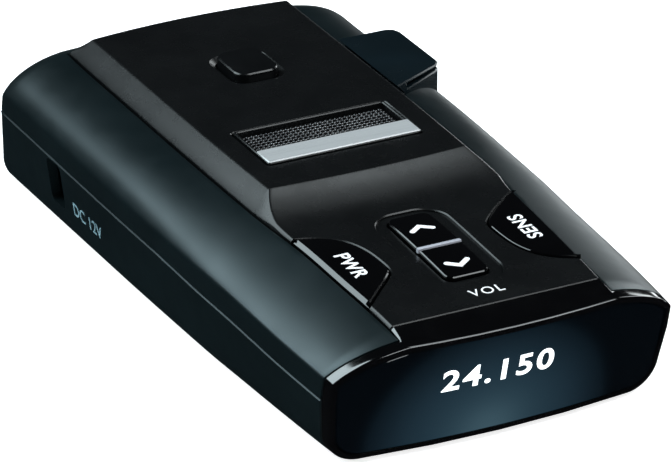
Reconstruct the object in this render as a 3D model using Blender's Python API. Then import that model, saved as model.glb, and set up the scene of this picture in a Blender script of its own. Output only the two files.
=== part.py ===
# Windscreen radar detector. Lengths below are millimetres; MM turns them into Blender's metres.
# +Z is up, the display end faces -Y, the end that looks at the road faces +Y, and the origin is
# the middle of the flat underside. The case is one lofted shape that is hollowed and then split
# into lower shell, upper shell, centre cover and front bezel.
import math

import bmesh
import bpy
from mathutils import Matrix, Vector

MM = 0.001
GAP = 0.3                  # clear space between two separate pieces
WALL = 1.8                 # case wall
REAR_Y = 67.1              # middle of the rear face at the height REAR_TOP
REAR_TOP = 26.0
REAR_BOW = 0.0024          # the rear face curves forwards by this times x squared
REAR_ROUND = (2.8, 4.6)    # length of the rounding at the rear face: side walls, top and shoulders
REAR_ROUND_Z = (16.0, 21.0)  # it grows from the one to the other between these heights
REAR_CLOSING = 2.1         # top and underside come together by this much in the rounding
FRONT_Y = -67.2            # middle of the front face at its top edge
FRONT_TOP = 23.4           # height of that edge
END_RAKE = 0.24            # both end faces lean forwards by this much of their height
FRONT_BOW = 0.0027         # the front face curves back by this times x squared
BEZEL_BAND = 2.9           # the shells end this far behind the front face
BEYOND_FRONT = 6.0         # lofts run this far beyond the front before they are cut to it
SPLIT_Z = 15.1             # parting line between lower and upper shell in the rear half
SPLIT_FALL = 0.032         # its fall towards the front of the middle
MIDDLE_Z = 13.5            # height that the rear rounding closes towards
SIDE_CLOSING = 0.2         # the sides come together by this share of that

COVER_MARGIN = 5.1         # strip of upper shell behind the centre cover
COVER_REAR_Y = REAR_Y - COVER_MARGIN
PLATEAU_Z = 29.5           # top of the raised centre
REAR_SLOPE = 1.9           # length of the slope behind its rear crest
PLATEAU_REAR_Y = COVER_REAR_Y - REAR_SLOPE - 0.1
PLATEAU_FRONT_Y = -13.9    # its front crest, where the scoop down to the keys starts
CREST_BOW_REAR = 1.6       # both crests curve in plan by this much at their ends
CREST_BOW_FRONT = 0.9
SCOOP_LENGTH = 12.6
LIP_Y = -60.0              # groove between the key deck and the bezel's tongue
SHOULDER_STEPS = 5
ARC_STEPS = 4

# Case cross-section along its length. Each row holds the station y, plateau half width, seam half
# width, seam height, shoulder control x and z, crease half width and height, half width at the
# foot of the wall, underside height and lower edge radius.
PROFILE = (
    (68.0, 19.9, 23.4, 26.0, 32.9, 25.3, 35.4, 19.2, 33.9, 0.0, 3.2),
    (20.0, 19.8, 23.3, 26.0, 32.8, 25.2, 35.3, 19.3, 33.8, 0.0, 4.3),
    (-14.0, 19.2, 22.8, 26.0, 32.1, 23.4, 34.7, 19.2, 33.3, 0.0, 4.9),
    (-27.0, 18.6, 21.9, 25.8, 31.2, 22.6, 34.1, 18.9, 32.8, 0.1, 5.1),
    (-45.0, 18.0, 21.0, 25.0, 29.9, 21.9, 33.5, 18.3, 32.2, 0.4, 5.4),
    (-55.0, 17.6, 20.4, 24.6, 29.3, 21.7, 32.9, 17.9, 31.8, 0.6, 5.6),
    (-63.3, 17.4, 20.0, 23.9, 29.0, 21.6, 32.3, 17.4, 31.5, 0.85, 5.8),
    (-67.2, 16.8, 19.4, 23.4, 28.7, 21.2, 32.0, 17.2, 31.3, 0.95, 5.9),
)
SHELL_STATIONS = (55.0, 35.0, 20.0, 0.0, -14.4, -15.2, -16.4, -18.0, -20.5, -23.5, -27.0,
                  -36.0, -45.0, -55.0, -63.3, -67.2)
CAVITY_STATIONS = (40.0, 10.0, -12.5, -14.5, -17.0, -21.0, -27.0, -45.0, -60.0, -67.2)

WINDOW_RIM = 1.35          # bezel rim around the display window
WINDOW_THICK = 1.4
WINDOW_LEDGE = 1.7         # inner step that the window rests on
SKIRT_INSET = 1.9          # collar of the bezel that reaches back inside the shells
SKIRT_DEPTH = 6.5
WINDOW_ROWS = 15           # strips that follow the bow of the front face

GRILLE_Y = 2.6             # middle of the speaker grille
GRILLE_HALF_X = 15.0
GRILLE_HALF_Y = 7.3
GRILLE_RIM = 0.6
GRILLE_PROUD = 0.3
POCKET_DEPTH = 1.2
PLATE_SPLIT_Y = 1.3        # the plain trim plate lies in front of this, the mesh behind it
PLATE_PROUD = 0.5

MUTE_Y = 34.5
MUTE_HALF = (4.3, 5.4)
MUTE_PROUD = 1.2
MUTE_RECESS = (5.3, 6.2)
RECESS_DEPTH = 0.8
MUTE_FOOT_Z = 27.0

KEY_PROUD = 0.5            # power and sensitivity keys above the deck
KEYS_MIDDLE_Y = -39.6
KEY_FOOT_Z = 22.3          # underside of the keys and of the rocker
KEY_ORIGIN_X = 16.0
KEY_REACH = 12.9           # keys end this far before and behind KEYS_MIDDLE_Y
KEY_EDGE = 1.0             # strip between a key and the cover's seam
# Inner side of the power key relative to (0, KEYS_MIDDLE_Y), rear to front; the sensitivity key's
# inner side is it turned half round.
KEY_CURVE = ((-17.2, 11.6), (-14.6, 9.6), (-12.9, 7.0), (-11.9, 3.8), (-11.5, 0.0),
             (-11.4, -3.6), (-12.4, -5.3), (-15.8, -8.6))
ROCKER_Y = -39.4
ROCKER_HALF = (4.45, 13.0)
ROCKER_RECESS = (6.8, 14.0)
ROCKER_PROUD = (0.5, 0.95)  # above the deck in the middle and at both ends
ROCKER_AXIS_Z = 22.6
BAR_HALF = (4.3, 0.45)
BAR_DEEP = 0.5
BAR_PROUD = 0.25

JACK_INSET = 24.0          # socket's axis, in front of the rear wall
JACK_Y = REAR_Y - JACK_INSET
JACK_Z = 10.0
JACK_OPENING = (3.0, 4.4)  # half width along Y and half height in the case wall
JACK_HALF = (4.6, 4.7)
JACK_FACE_X = -31.6
JACK_LENGTH = 11.0
JACK_BORE = 2.95
JACK_BORE_DEEP = 9.0
PIN_RADIUS = 0.65
PIN_LENGTH = 8.5

LEAF_TOP = 27.7            # bracket shoe beside the plateau: a leaf over a block, with a slot
LEAF_THICK = 0.5
SLOT_HIGH = 0.7
SLOT_DEEP_Y = 37.5
SLOT_SIDE = 0.85           # the slot stops this far from the shoe's inner side
SHOE_FOOT_Z = 17.1
SHOE_BESIDE = 0.35         # the shoe starts this far outside the cover's seam
SHOE_FRONT_Y = 18.1
SHOE_REAR_Y = 41.8
SHOE_EDGE = ((33.0, 23.4), (33.9, 24.6), (34.0, 26.0), (34.0, 39.6), (33.4, 41.1), (32.0, 41.8))

LASER_X = -17.5            # window for laser light in the rear wall
LASER_Z = 12.6
LASER_HALF = (8.5, 4.5)
LASER_WINDOW_SET_IN = 0.1
LASER_WINDOW_THICK = 1.6
LASER_SENSOR_HALF = (5.0, 4.2)
LASER_SENSOR_LENGTH = 6.9

PANEL_HALF_X = 22.0        # display panel and the board behind it
PANEL_Z = (6.0, 18.2)
PANEL_THICK = 1.6
PANEL_BEHIND = 0.9         # space between the window and the panel's corners
PANEL_BOARD_THICK = 1.3
BOARD_Z = 3.6              # underside of the main board
BOARD_THICK = 1.4
MAIN_BOARD_FRONT_Y = -50.0
MAIN_BOARD_INSET = 10.1    # its rear edge lies this far in front of the rear wall
KEY_BOARD_HALF_X = 18.5
KEY_BOARD_Y = (-55.0, -25.0)
TOP_BOARD_HALF_X = 10.0
TOP_BOARD_Y = (14.0, 41.0)
SWITCH_HALF = 2.2
KEY_SWITCH_HIGH = 0.8
KEY_ROOM = 1.0             # space between a key's underside and its switch
ROCKER_SWITCH_REACH = 9.0
MUTE_SWITCH_HIGH = 1.3
MUTE_ROOM = 1.4
CAN_X = (-7.0, 19.0)       # shielded receiver
CAN_LENGTH = 32.2
CAN_BEHIND = 0.4           # space between the can and the horn
CAN_TOP = 18.5
HORN_CENTRE = (6.0, 14.5)  # x and z of the antenna horn's axis
HORN_INSET = 5.6           # mouth of the horn, in front of the rear wall
HORN_LENGTH = 16.5
HORN_NECK = 2.4
HORN_THROAT = (6.0, 3.2)
HORN_MOUTH = (14.0, 7.6)
HORN_WALL = 0.8
SPEAKER_HALF = (13.0, 5.6)
SPEAKER_HIGH = 5.9
SPEAKER_BELOW = 0.4        # space between the cover's underside and the speaker
SCREW_REAR_INSET = 13.1    # rear screws stand this far in front of the rear wall
SCREW_REAR_X = 27.5
SCREW_FRONT_X = 25.8
SCREW_FRONT_Y = -47.0
SCREW_SPOTS = ((-SCREW_REAR_X, REAR_Y - SCREW_REAR_INSET), (SCREW_REAR_X, REAR_Y - SCREW_REAR_INSET),
               (-SCREW_FRONT_X, SCREW_FRONT_Y), (SCREW_FRONT_X, SCREW_FRONT_Y))
SCREW_HEAD = 2.3
SCREW_HEAD_THICK = 0.6
SCREW_SHANK = 1.1
SCREW_LENGTH = 9.0
SCREW_SET_IN = 0.2         # screw heads lie this far inside the underside
POST_RADIUS = 2.4
POST_CLEARANCE = 1.2       # between a post's foot and the floor of the case
POST_BORE_LENGTH = 8.0
SMOOTH_ANGLE = 32.0        # faces that meet at less than this are shaded as one

MATERIALS = {
    "shell": ((0.075, 0.095, 0.105), 0.38, 0.0),
    "black_satin": ((0.012, 0.012, 0.013), 0.42, 0.0),
    "gloss_black": ((0.006, 0.006, 0.007), 0.08, 0.0),
    "window": ((0.008, 0.014, 0.022), 0.05, 0.0),
    "infrared_window": ((0.02, 0.004, 0.006), 0.08, 0.0),
    "silver": ((0.62, 0.63, 0.64), 0.28, 1.0),
    "chrome": ((0.82, 0.83, 0.84), 0.08, 1.0),
    "mesh": ((0.16, 0.16, 0.17), 0.45, 1.0),
    "board": ((0.02, 0.10, 0.05), 0.5, 0.0),
    "brass": ((0.75, 0.55, 0.25), 0.3, 1.0),
    "tin": ((0.6, 0.6, 0.58), 0.35, 1.0),
    "screw": ((0.05, 0.05, 0.055), 0.35, 1.0),
    "black_plastic": ((0.015, 0.015, 0.015), 0.5, 0.0),
}


def clear_scene():
    for item in list(bpy.data.objects):
        bpy.data.objects.remove(item, do_unlink=True)


def material(name):
    found = bpy.data.materials.get(name)
    if found:
        return found
    colour, roughness, metallic = MATERIALS[name]
    made = bpy.data.materials.new(name)
    made.use_nodes = True
    shader = made.node_tree.nodes["Principled BSDF"]
    shader.inputs["Base Color"].default_value = (*colour, 1.0)
    shader.inputs["Roughness"].default_value = roughness
    shader.inputs["Metallic"].default_value = metallic
    return made


def finish(name, mesh_builder, finish_name=None):
    """Turns a filled bmesh in millimetres into an object in metres."""
    bmesh.ops.scale(mesh_builder, vec=(MM, MM, MM), verts=mesh_builder.verts)
    bmesh.ops.recalc_face_normals(mesh_builder, faces=mesh_builder.faces)
    mesh = bpy.data.meshes.new(name)
    mesh_builder.to_mesh(mesh)
    mesh_builder.free()
    made = bpy.data.objects.new(name, mesh)
    bpy.context.collection.objects.link(made)
    if finish_name:
        made.data.materials.append(material(finish_name))
    return made


def hide(item):
    item.hide_render = True
    item.display_type = "WIRE"
    return item


def loft(name, rings, finish_name=None):
    """Bridges closed rings of points and caps both ends."""
    builder = bmesh.new()
    loops = []
    for ring in rings:
        points = [builder.verts.new(point) for point in ring]
        loops.append([builder.edges.new((points[i - 1], points[i])) for i in range(len(points))])
    for first, second in zip(loops, loops[1:]):
        bmesh.ops.bridge_loops(builder, edges=first + second)
    bmesh.ops.holes_fill(builder, edges=loops[0] + loops[-1], sides=0)
    return finish(name, builder, finish_name)


def prism(name, outline, low, high, finish_name=None):
    """Upright prism over an outline; low and high are heights, or functions of (x, y)."""
    bottom = low if callable(low) else lambda x, y: low
    top = high if callable(high) else lambda x, y: high
    rings = [[(x, y, bottom(x, y)) for x, y in outline], [(x, y, top(x, y)) for x, y in outline]]
    return loft(name, rings, finish_name)


def box(name, x_range, y_range, z_range, finish_name=None):
    outline = [(x_range[0], y_range[0]), (x_range[1], y_range[0]),
               (x_range[1], y_range[1]), (x_range[0], y_range[1])]
    return prism(name, outline, z_range[0], z_range[1], finish_name)


def side_prism(name, outline, x_range, finish_name=None):
    """Prism that lies along X over an outline in y and z."""
    return loft(name, [[(x, y, z) for y, z in outline] for x in x_range], finish_name)


def rounded(half_x, half_y, radius, middle=(0.0, 0.0), steps=3):
    """Outline of a rectangle with rounded corners."""
    points = []
    for corner in range(4):
        side_x = 1 if corner in (0, 3) else -1
        side_y = 1 if corner in (0, 1) else -1
        for step in range(steps + 1):
            angle = math.radians(90 * corner + 90 * step / steps)
            points.append((middle[0] + side_x * (half_x - radius) + radius * math.cos(angle),
                           middle[1] + side_y * (half_y - radius) + radius * math.sin(angle)))
    return points


def cylinder(name, radius, start, end, finish_name=None, sides=24, end_radius=None):
    """Round bar between two points."""
    builder = bmesh.new()
    axis = Vector(end) - Vector(start)
    bmesh.ops.create_cone(builder, cap_ends=True, segments=sides, radius1=radius,
                          radius2=radius if end_radius is None else end_radius, depth=axis.length)
    turn = Vector((0, 0, 1)).rotation_difference(axis).to_matrix().to_4x4()
    middle = Matrix.Translation((Vector(start) + Vector(end)) / 2)
    bmesh.ops.transform(builder, matrix=middle @ turn, verts=builder.verts)
    return finish(name, builder, finish_name)


def combine(item, other, operation):
    """Adds an exact Boolean with a helper that stays hidden."""
    step = item.modifiers.new(operation.title(), "BOOLEAN")
    step.operation = operation
    step.solver = "EXACT"
    step.object = hide(other)
    return item


def cut(item, cutter):
    return combine(item, cutter, "DIFFERENCE")


def keep(item, region):
    return combine(item, region, "INTERSECT")


def join(item, other):
    return combine(item, other, "UNION")


def move_origin(item, point):
    """Puts the object's origin at a point given in millimetres without moving its shape."""
    shift = Vector(point) * MM
    item.data.transform(Matrix.Translation(-shift))
    item.location = shift
    return item


def grow(outline, distance):
    """Outline moved outwards by a distance along its corner normals."""
    grown = []
    for i, (x, y) in enumerate(outline):
        before = Vector(outline[i - 1])
        after = Vector(outline[(i + 1) % len(outline)])
        here = Vector((x, y))
        first = (here - before).normalized()
        second = (after - here).normalized()
        normal = Vector((first.y + second.y, -first.x - second.x)).normalized()
        reach = distance / max(0.5, normal.dot(Vector((first.y, -first.x))))
        grown.append((x + normal.x * reach, y + normal.y * reach))
    return grown


def facing_out(outline):
    """The same outline, counter-clockwise."""
    area = sum(outline[i - 1][0] * outline[i][1] - outline[i][0] * outline[i - 1][1]
               for i in range(len(outline)))
    return list(outline) if area > 0 else list(reversed(outline))


def profile_at(y):
    """Row of PROFILE between its stations."""
    rows = PROFILE
    if y >= rows[0][0]:
        return rows[0]
    for upper, lower in zip(rows, rows[1:]):
        if y >= lower[0]:
            share = (y - lower[0]) / (upper[0] - lower[0])
            return tuple(lo + (up - lo) * share for up, lo in zip(upper, lower))
    return rows[-1]


def deck_height(y):
    return profile_at(y)[3]


def split_height(y):
    return SPLIT_Z + SPLIT_FALL * min(0.0, y)


def top_height(y):
    """Height of the raised centre or, in front of it, of the scoop and key deck."""
    if y > PLATEAU_REAR_Y:
        fall = min(1.0, (y - PLATEAU_REAR_Y) / REAR_SLOPE)
        return PLATEAU_Z - (PLATEAU_Z - deck_height(y)) * fall
    if y > PLATEAU_FRONT_Y:
        return PLATEAU_Z
    share = min(1.0, (PLATEAU_FRONT_Y - y) / SCOOP_LENGTH)
    return deck_height(y) + (PLATEAU_Z - deck_height(y)) * (1 - share) ** 2


def plateau_edge(y):
    """Half width of the top, which widens down the chamfer as the top falls."""
    _, narrow, seam, seam_z = profile_at(y)[:4]
    fall = (PLATEAU_Z - top_height(y)) / (PLATEAU_Z - seam_z)
    return min(seam - 0.6, narrow + (seam - narrow) * fall)


def half_section(y, inset=0.0):
    """Right half of the case outline at a station, from top middle to bottom middle."""
    _, _, seam, seam_z, ctrl_x, ctrl_z, crease, crease_z, foot, low, radius = profile_at(y)
    top = top_height(y) - inset
    edge = plateau_edge(y) - 0.5 * inset
    points = [(0.0, top), (edge * 0.4, top), (edge * 0.75, top), (edge, top)]
    start = Vector((seam - 0.4 * inset, seam_z - inset))
    control = Vector((ctrl_x - 0.75 * inset, ctrl_z - 0.85 * inset))
    end = Vector((crease - inset, crease_z - 0.5 * inset))
    for step in range(SHOULDER_STEPS + 1):
        t = step / SHOULDER_STEPS
        point = start * (1 - t) ** 2 + control * 2 * t * (1 - t) + end * t ** 2
        points.append((point.x, point.y))
    points.append((crease - 0.05 - inset, split_height(y)))
    round_in = radius - 0.6 * inset
    centre = (foot - inset - round_in, low + inset + round_in)
    for step in range(ARC_STEPS + 1):
        angle = math.radians(90 * step / ARC_STEPS)
        points.append((centre[0] + round_in * math.cos(angle),
                       centre[1] - round_in * math.sin(angle)))
    points.append((0.0, low + inset))
    return points


def crest_shift(y, x, z):
    """Bows the plateau's two crests in plan."""
    if z < deck_height(y) + 0.3:
        return 0.0
    share = (x / 20.0) ** 2
    if abs(y - PLATEAU_REAR_Y) < 0.1:
        return -CREST_BOW_REAR * share
    if -18.0 < y < PLATEAU_FRONT_Y + 0.1:
        return CREST_BOW_FRONT * share
    return 0.0


def case_ring(y, inset=0.0):
    """Closed ring of case points."""
    half = half_section(y, inset)
    mirrored = [(-x, z) for x, z in reversed(half[1:-1])]
    return [(x, y + crest_shift(y, x, z), z) for x, z in half + mirrored]


def rear_y_at(x, z):
    """Rear face of the case."""
    return REAR_Y + END_RAKE * (REAR_TOP - z) - REAR_BOW * x * x


def rounding_at(z):
    (short, long), (low, high) = REAR_ROUND, REAR_ROUND_Z
    return short + (long - short) * min(1.0, max(0.0, (z - low) / (high - low)))


def rear_rings(inset=0.0):
    """Rings that round the sides, the top and the underside over towards the rear face."""
    rings = []
    for angle, beyond in ((66, 5.0), (66, 0.0), (42, 0.0), (20, 0.0)):
        turn = math.radians(angle)
        closing = REAR_CLOSING * (1 - math.cos(turn)) * (1 - inset / REAR_ROUND[1])
        shrink = 1.0 - SIDE_CLOSING * closing / 35.0
        ring = []
        for x, y, z in case_ring(REAR_Y, inset):
            before = inset + (rounding_at(z) - inset) * (1 - math.sin(turn))
            high = MIDDLE_Z + (z - MIDDLE_Z) * (1.0 - closing / MIDDLE_Z)
            ring.append((x * shrink, rear_y_at(x, z) - before + beyond, high))
        rings.append(ring)
    return rings


def beyond_front(ring, times=1):
    return [(x, y - times * BEYOND_FRONT, z) for x, y, z in ring]


def outer_case(name="case_solid"):
    """Solid shape of both shells, the centre cover and the bezel."""
    rings = rear_rings()
    rings += [case_ring(COVER_REAR_Y), case_ring(PLATEAU_REAR_Y)]
    rings += [case_ring(y) for y in SHELL_STATIONS if PLATEAU_FRONT_Y < y < PLATEAU_REAR_Y]
    rings.append(case_ring(PLATEAU_FRONT_Y))
    rings += [case_ring(y) for y in SHELL_STATIONS if y < PLATEAU_FRONT_Y]
    rings.append(beyond_front(case_ring(FRONT_Y)))
    return loft(name, rings)


def cavity():
    """Inside of the case, open at the front."""
    rings = rear_rings(WALL)
    rings += [case_ring(y, WALL) for y in CAVITY_STATIONS]
    rings.append(beyond_front(case_ring(FRONT_Y, WALL), 2))
    return keep(loft("case_cavity", rings), between_ends("cavity_ends", -4 * BEYOND_FRONT, WALL))


def shoe_inner_x():
    return profile_at(SHOE_REAR_Y)[2] + SHOE_BESIDE


def shoe_solid():
    """Block under the bracket leaf, reaching down into the shoulder's skin."""
    inner = shoe_inner_x()
    outline = [(inner, SHOE_FRONT_Y), *SHOE_EDGE, (inner, SHOE_REAR_Y)]
    return prism("shoe_solid", facing_out(outline), SHOE_FOOT_Z, LEAF_TOP)


def shoe_slot():
    """Slot between leaf and block, open at the front and on the outer side."""
    top = LEAF_TOP - LEAF_THICK
    return box("shoe_slot", (shoe_inner_x() + SLOT_SIDE, 40.0), (10.0, SLOT_DEEP_Y),
               (top - SLOT_HIGH, top))


def seam_outline(grown, rear_y, front_y):
    """Plan outline of the centre cover."""
    stations = [y for y in (40.0, 10.0, -14.0, -27.0, -45.0, -55.0) if front_y < y < rear_y]
    right = [(profile_at(y)[2] + grown, y) for y in [rear_y, *stations, front_y]]
    return facing_out(right + [(-x, y) for x, y in reversed(right)])


def cover_region(name, grown, front_y):
    outline = seam_outline(grown, COVER_REAR_Y + grown, front_y)
    return prism(name, outline, SPLIT_Z + 5.0, PLATEAU_Z + 10.0)


def front_y_at(x, z):
    """Front face of the bezel and window."""
    return FRONT_Y + END_RAKE * (FRONT_TOP - z) + FRONT_BOW * x * x


def across(name, section):
    """Solid over rows along x; section gives the row's four corners in y and z."""
    rows = [-37.0 + 74.0 * row / (WINDOW_ROWS - 1) for row in range(WINDOW_ROWS)]
    return loft(name, [[(x, y, z) for y, z in section(x)] for x in rows])


def front_slab(name, front, back):
    """Bowed and raked slab between two depths behind the front face."""
    return across(name, lambda x: [(front_y_at(x, -6) + front, -6), (front_y_at(x, 32) + front, 32),
                                   (front_y_at(x, 32) + back, 32), (front_y_at(x, -6) + back, -6)])


def rear_slab(name, front, back):
    """The same between two depths in front of the rear face."""
    return across(name, lambda x: [(rear_y_at(x, -6) - front, -6), (rear_y_at(x, 32) - front, 32),
                                   (rear_y_at(x, 32) - back, 32), (rear_y_at(x, -6) - back, -6)])


def between_ends(name, front, rear):
    """Everything between a depth behind the front face and a depth in front of the rear face."""
    return across(name, lambda x: [(front_y_at(x, -6) + front, -6), (front_y_at(x, 32) + front, 32),
                                   (rear_y_at(x, 32) - rear, 32), (rear_y_at(x, -6) - rear, -6)])


def front_outline(inset):
    """Outline of the front face in x and z, moved inwards."""
    half = half_section(FRONT_Y)
    ring = half + [(-x, z) for x, z in reversed(half[1:-1])]
    return grow(facing_out(ring), -inset)


def front_prism(name, inset, near=-80.0, far=-50.0):
    outline = front_outline(inset)
    return loft(name, [[(x, near, z) for x, z in outline], [(x, far, z) for x, z in outline]])


def tilted_prism(name, outline, depth, high=40.0):
    """Cutter whose floor lies a depth below the key deck."""
    return prism(name, outline, lambda x, y: deck_height(y) - depth, high)


def key_outline(side):
    """Outline of the key on the left (side -1) or right (side 1) of the rocker."""
    rear = KEYS_MIDDLE_Y + KEY_REACH
    front = KEYS_MIDDLE_Y - KEY_REACH
    curve = [(-side * x, KEYS_MIDDLE_Y - side * y) for x, y in KEY_CURVE]
    tips = [(side * (profile_at(y)[2] - KEY_EDGE), y) for y in (rear, front)]
    if side > 0:
        curve.reverse()
    return facing_out([tips[0], *curve, tips[1]])


def rocker_outline(extra=0.0):
    return rounded(ROCKER_HALF[0] + extra, ROCKER_HALF[1] + extra, 2.0 + extra, (0.0, ROCKER_Y))


def half_space(name, far, clearance):
    """Everything between a far height and the parting line, which bends at the middle."""
    edge = [(y, split_height(y) + clearance) for y in (90, 0, -90)]
    return side_prism(name, [(-90, far), (90, far), *edge], (-60, 60))


def build_shells():
    lower = outer_case("lower_shell")
    lower.data.materials.append(material("shell"))
    keep(lower, between_ends("shell_ends", BEZEL_BAND, 0))
    keep(lower, half_space("lower_half", -10, -GAP / 2))
    cut(lower, cavity())
    upper = outer_case("upper_shell")
    upper.data.materials.append(material("shell"))
    keep(upper, between_ends("shell_ends", BEZEL_BAND, 0))
    join(upper, shoe_solid())
    cut(upper, cavity())
    cut(upper, shoe_slot())
    cut(upper, cover_region("cover_opening", GAP / 2, FRONT_Y - 3 * BEYOND_FRONT))
    keep(upper, half_space("upper_half", 60, GAP / 2))
    for shell in (lower, upper):
        jack_hole = rounded(JACK_OPENING[0], JACK_OPENING[1], 1.0, (JACK_Y, JACK_Z))
        cut(shell, side_prism("jack_hole", jack_hole, (-45, -31)))
    cut_laser_opening(lower)
    cut_laser_opening(upper)
    for spot in SCREW_SPOTS:
        add_post(upper, spot)
        cut_screw_hole(lower, spot)
    return lower, upper


def cut_laser_opening(shell):
    outline = rounded(LASER_HALF[0] + GAP, LASER_HALF[1] + GAP, 1.5, (LASER_X, LASER_Z))
    span = (REAR_Y - 2 * WALL, REAR_Y + 4 * WALL)
    cut(shell, loft("laser_hole", [[(x, y, z) for x, z in outline] for y in span]))


def shoulder_height(x, y):
    """Approximate height of the shoulder's underside above a spot."""
    half = half_section(y, WALL)[4:]
    for (x0, z0), (x1, z1) in zip(half, half[1:]):
        if x0 <= x <= x1:
            return z0 + (z1 - z0) * (x - x0) / (x1 - x0)
    return SPLIT_Z


def underside(y):
    return profile_at(y)[9]


def add_post(shell, spot):
    """Screw post hanging from the shoulder, with a blind bore for the screw."""
    x, y = spot
    top = shoulder_height(abs(x), y) + 0.5 * WALL
    foot = underside(y) + WALL + POST_CLEARANCE
    join(shell, cylinder("post", POST_RADIUS, (x, y, foot), (x, y, top), sides=16))
    bore_top = foot + POST_BORE_LENGTH
    cut(shell, cylinder("post_bore", SCREW_SHANK + 0.2, (x, y, foot - 1), (x, y, bore_top), sides=16))


def cut_screw_hole(shell, spot):
    x, y = spot
    low = underside(y)
    seat = low + SCREW_SET_IN + SCREW_HEAD_THICK + GAP
    cut(shell, cylinder("head_hole", SCREW_HEAD + GAP, (x, y, low - 3), (x, y, seat), sides=20))
    through = low + WALL + 2
    cut(shell, cylinder("shank_hole", SCREW_SHANK + GAP, (x, y, low - 3), (x, y, through), sides=16))


def build_cover():
    cover = outer_case("centre_cover")
    cover.data.materials.append(material("black_satin"))
    cut(cover, cavity())
    keep(cover, cover_region("cover_area", -GAP / 2, LIP_Y + GAP / 2))
    pocket = rounded(GRILLE_HALF_X + GAP, GRILLE_HALF_Y + GAP, 0.6, (0.0, GRILLE_Y))
    cut(cover, prism("grille_pocket", pocket, PLATEAU_Z - POCKET_DEPTH, 40))
    opening = rounded(GRILLE_HALF_X - 1.4, GRILLE_HALF_Y - 1.4, 0.6, (0.0, GRILLE_Y))
    cut(cover, prism("sound_opening", opening, 20, 41))
    recess = rounded(*MUTE_RECESS, 3.2, (0.0, MUTE_Y), 4)
    cut(cover, prism("mute_recess", recess, PLATEAU_Z - RECESS_DEPTH, 40))
    hole = rounded(MUTE_HALF[0] + GAP, MUTE_HALF[1] + GAP, 2.8, (0.0, MUTE_Y), 4)
    cut(cover, prism("mute_hole", hole, 20, 41))
    for side in (-1, 1):
        cut(cover, prism("key_hole", grow(key_outline(side), GAP), 15, 41))
    dish = rounded(*ROCKER_RECESS, 5.0, (0.0, ROCKER_Y), 4)
    cut(cover, tilted_prism("rocker_dish", dish, RECESS_DEPTH))
    cut(cover, prism("rocker_hole", rocker_outline(GAP + 0.05), 15, 41))
    return cover


def build_bezel():
    """Ring round the window, with a tongue that runs back to the key deck."""
    bezel = outer_case("front_bezel")
    bezel.data.materials.append(material("gloss_black"))
    keep(bezel, front_slab("bezel_face", 0.0, BEZEL_BAND - GAP))
    join(bezel, tongue())
    collar = front_prism("bezel_collar", SKIRT_INSET)
    join(bezel, keep(collar, front_slab("collar_depth", 0.4, SKIRT_DEPTH)))
    recess = front_prism("window_recess", WINDOW_RIM - GAP / 2)
    cut(bezel, keep(recess, front_slab("recess_depth", -6.0, WINDOW_THICK + GAP)))
    cut(bezel, front_prism("display_opening", WINDOW_RIM + WINDOW_LEDGE))
    return bezel


def tongue():
    """Lip between the seams that carries the bezel's gloss back to the deck groove."""
    def ring(y):
        half = half_section(y)
        seam = profile_at(y)[2] - GAP / 2
        top = half[0][1] - 0.02
        low = top - WALL
        return [(-seam, y, top), (-seam, y, low), (seam, y, low), (seam, y, top)]
    middle = FRONT_Y + BEZEL_BAND
    return loft("bezel_tongue", [ring(LIP_Y - GAP / 2), ring(middle), ring(middle - 1.2)])


def build_window():
    window = front_prism("display_window", WINDOW_RIM)
    window.data.materials.append(material("window"))
    return keep(window, front_slab("window_body", 0.0, WINDOW_THICK))


def raked_box(name, half_x, y_range, z_range, finish_name):
    """Upright plate parallel to the front face."""
    outline = [(y_range[0], z_range[0]), (y_range[1], z_range[0]),
               (y_range[1], z_range[1]), (y_range[0], z_range[1])]
    middle = sum(z_range) / 2
    rings = [[(x, y - END_RAKE * (z - middle), z) for y, z in outline] for x in (-half_x, half_x)]
    return loft(name, rings, finish_name)


def build_display():
    middle = sum(PANEL_Z) / 2
    front = front_y_at(PANEL_HALF_X, middle) + WINDOW_THICK + PANEL_BEHIND
    back = front + PANEL_THICK
    raked_box("display_panel", PANEL_HALF_X, (front, back), PANEL_Z, "gloss_black")
    raked_box("display_board", PANEL_HALF_X, (back + GAP, back + GAP + PANEL_BOARD_THICK), PANEL_Z,
              "board")


def build_grille():
    frame_low = PLATEAU_Z - POCKET_DEPTH + GAP
    outer = rounded(GRILLE_HALF_X, GRILLE_HALF_Y, 0.5, (0.0, GRILLE_Y))
    frame = prism("grille_frame", outer, frame_low, PLATEAU_Z + GRILLE_PROUD, "black_satin")
    inner = rounded(GRILLE_HALF_X - GRILLE_RIM, GRILLE_HALF_Y - GRILLE_RIM, 0.3, (0.0, GRILLE_Y))
    cut(frame, prism("frame_opening", inner, 20, 40))
    half_x = GRILLE_HALF_X - GRILLE_RIM - GAP
    front = GRILLE_Y - GRILLE_HALF_Y + GRILLE_RIM + GAP
    rear = GRILLE_Y + GRILLE_HALF_Y - GRILLE_RIM - GAP
    box("speaker_mesh", (-half_x, half_x), (PLATE_SPLIT_Y + GAP, rear),
        (frame_low, PLATEAU_Z - 0.2), "mesh")
    box("trim_plate", (-half_x, half_x), (front, PLATE_SPLIT_Y),
        (frame_low, PLATEAU_Z + PLATE_PROUD), "silver")


def build_keys():
    mute = prism("mute_button", rounded(*MUTE_HALF, 2.5, (0.0, MUTE_Y), 4), MUTE_FOOT_Z,
                 PLATEAU_Z + MUTE_PROUD, "gloss_black")
    move_origin(mute, (0.0, MUTE_Y, PLATEAU_Z))
    for name, side in (("power_button", -1), ("sensitivity_button", 1)):
        key = prism(name, key_outline(side), KEY_FOOT_Z, lambda x, y: deck_height(y) + KEY_PROUD,
                    "gloss_black")
        move_origin(key, (side * KEY_ORIGIN_X, KEYS_MIDDLE_Y, deck_height(KEYS_MIDDLE_Y)))


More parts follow.
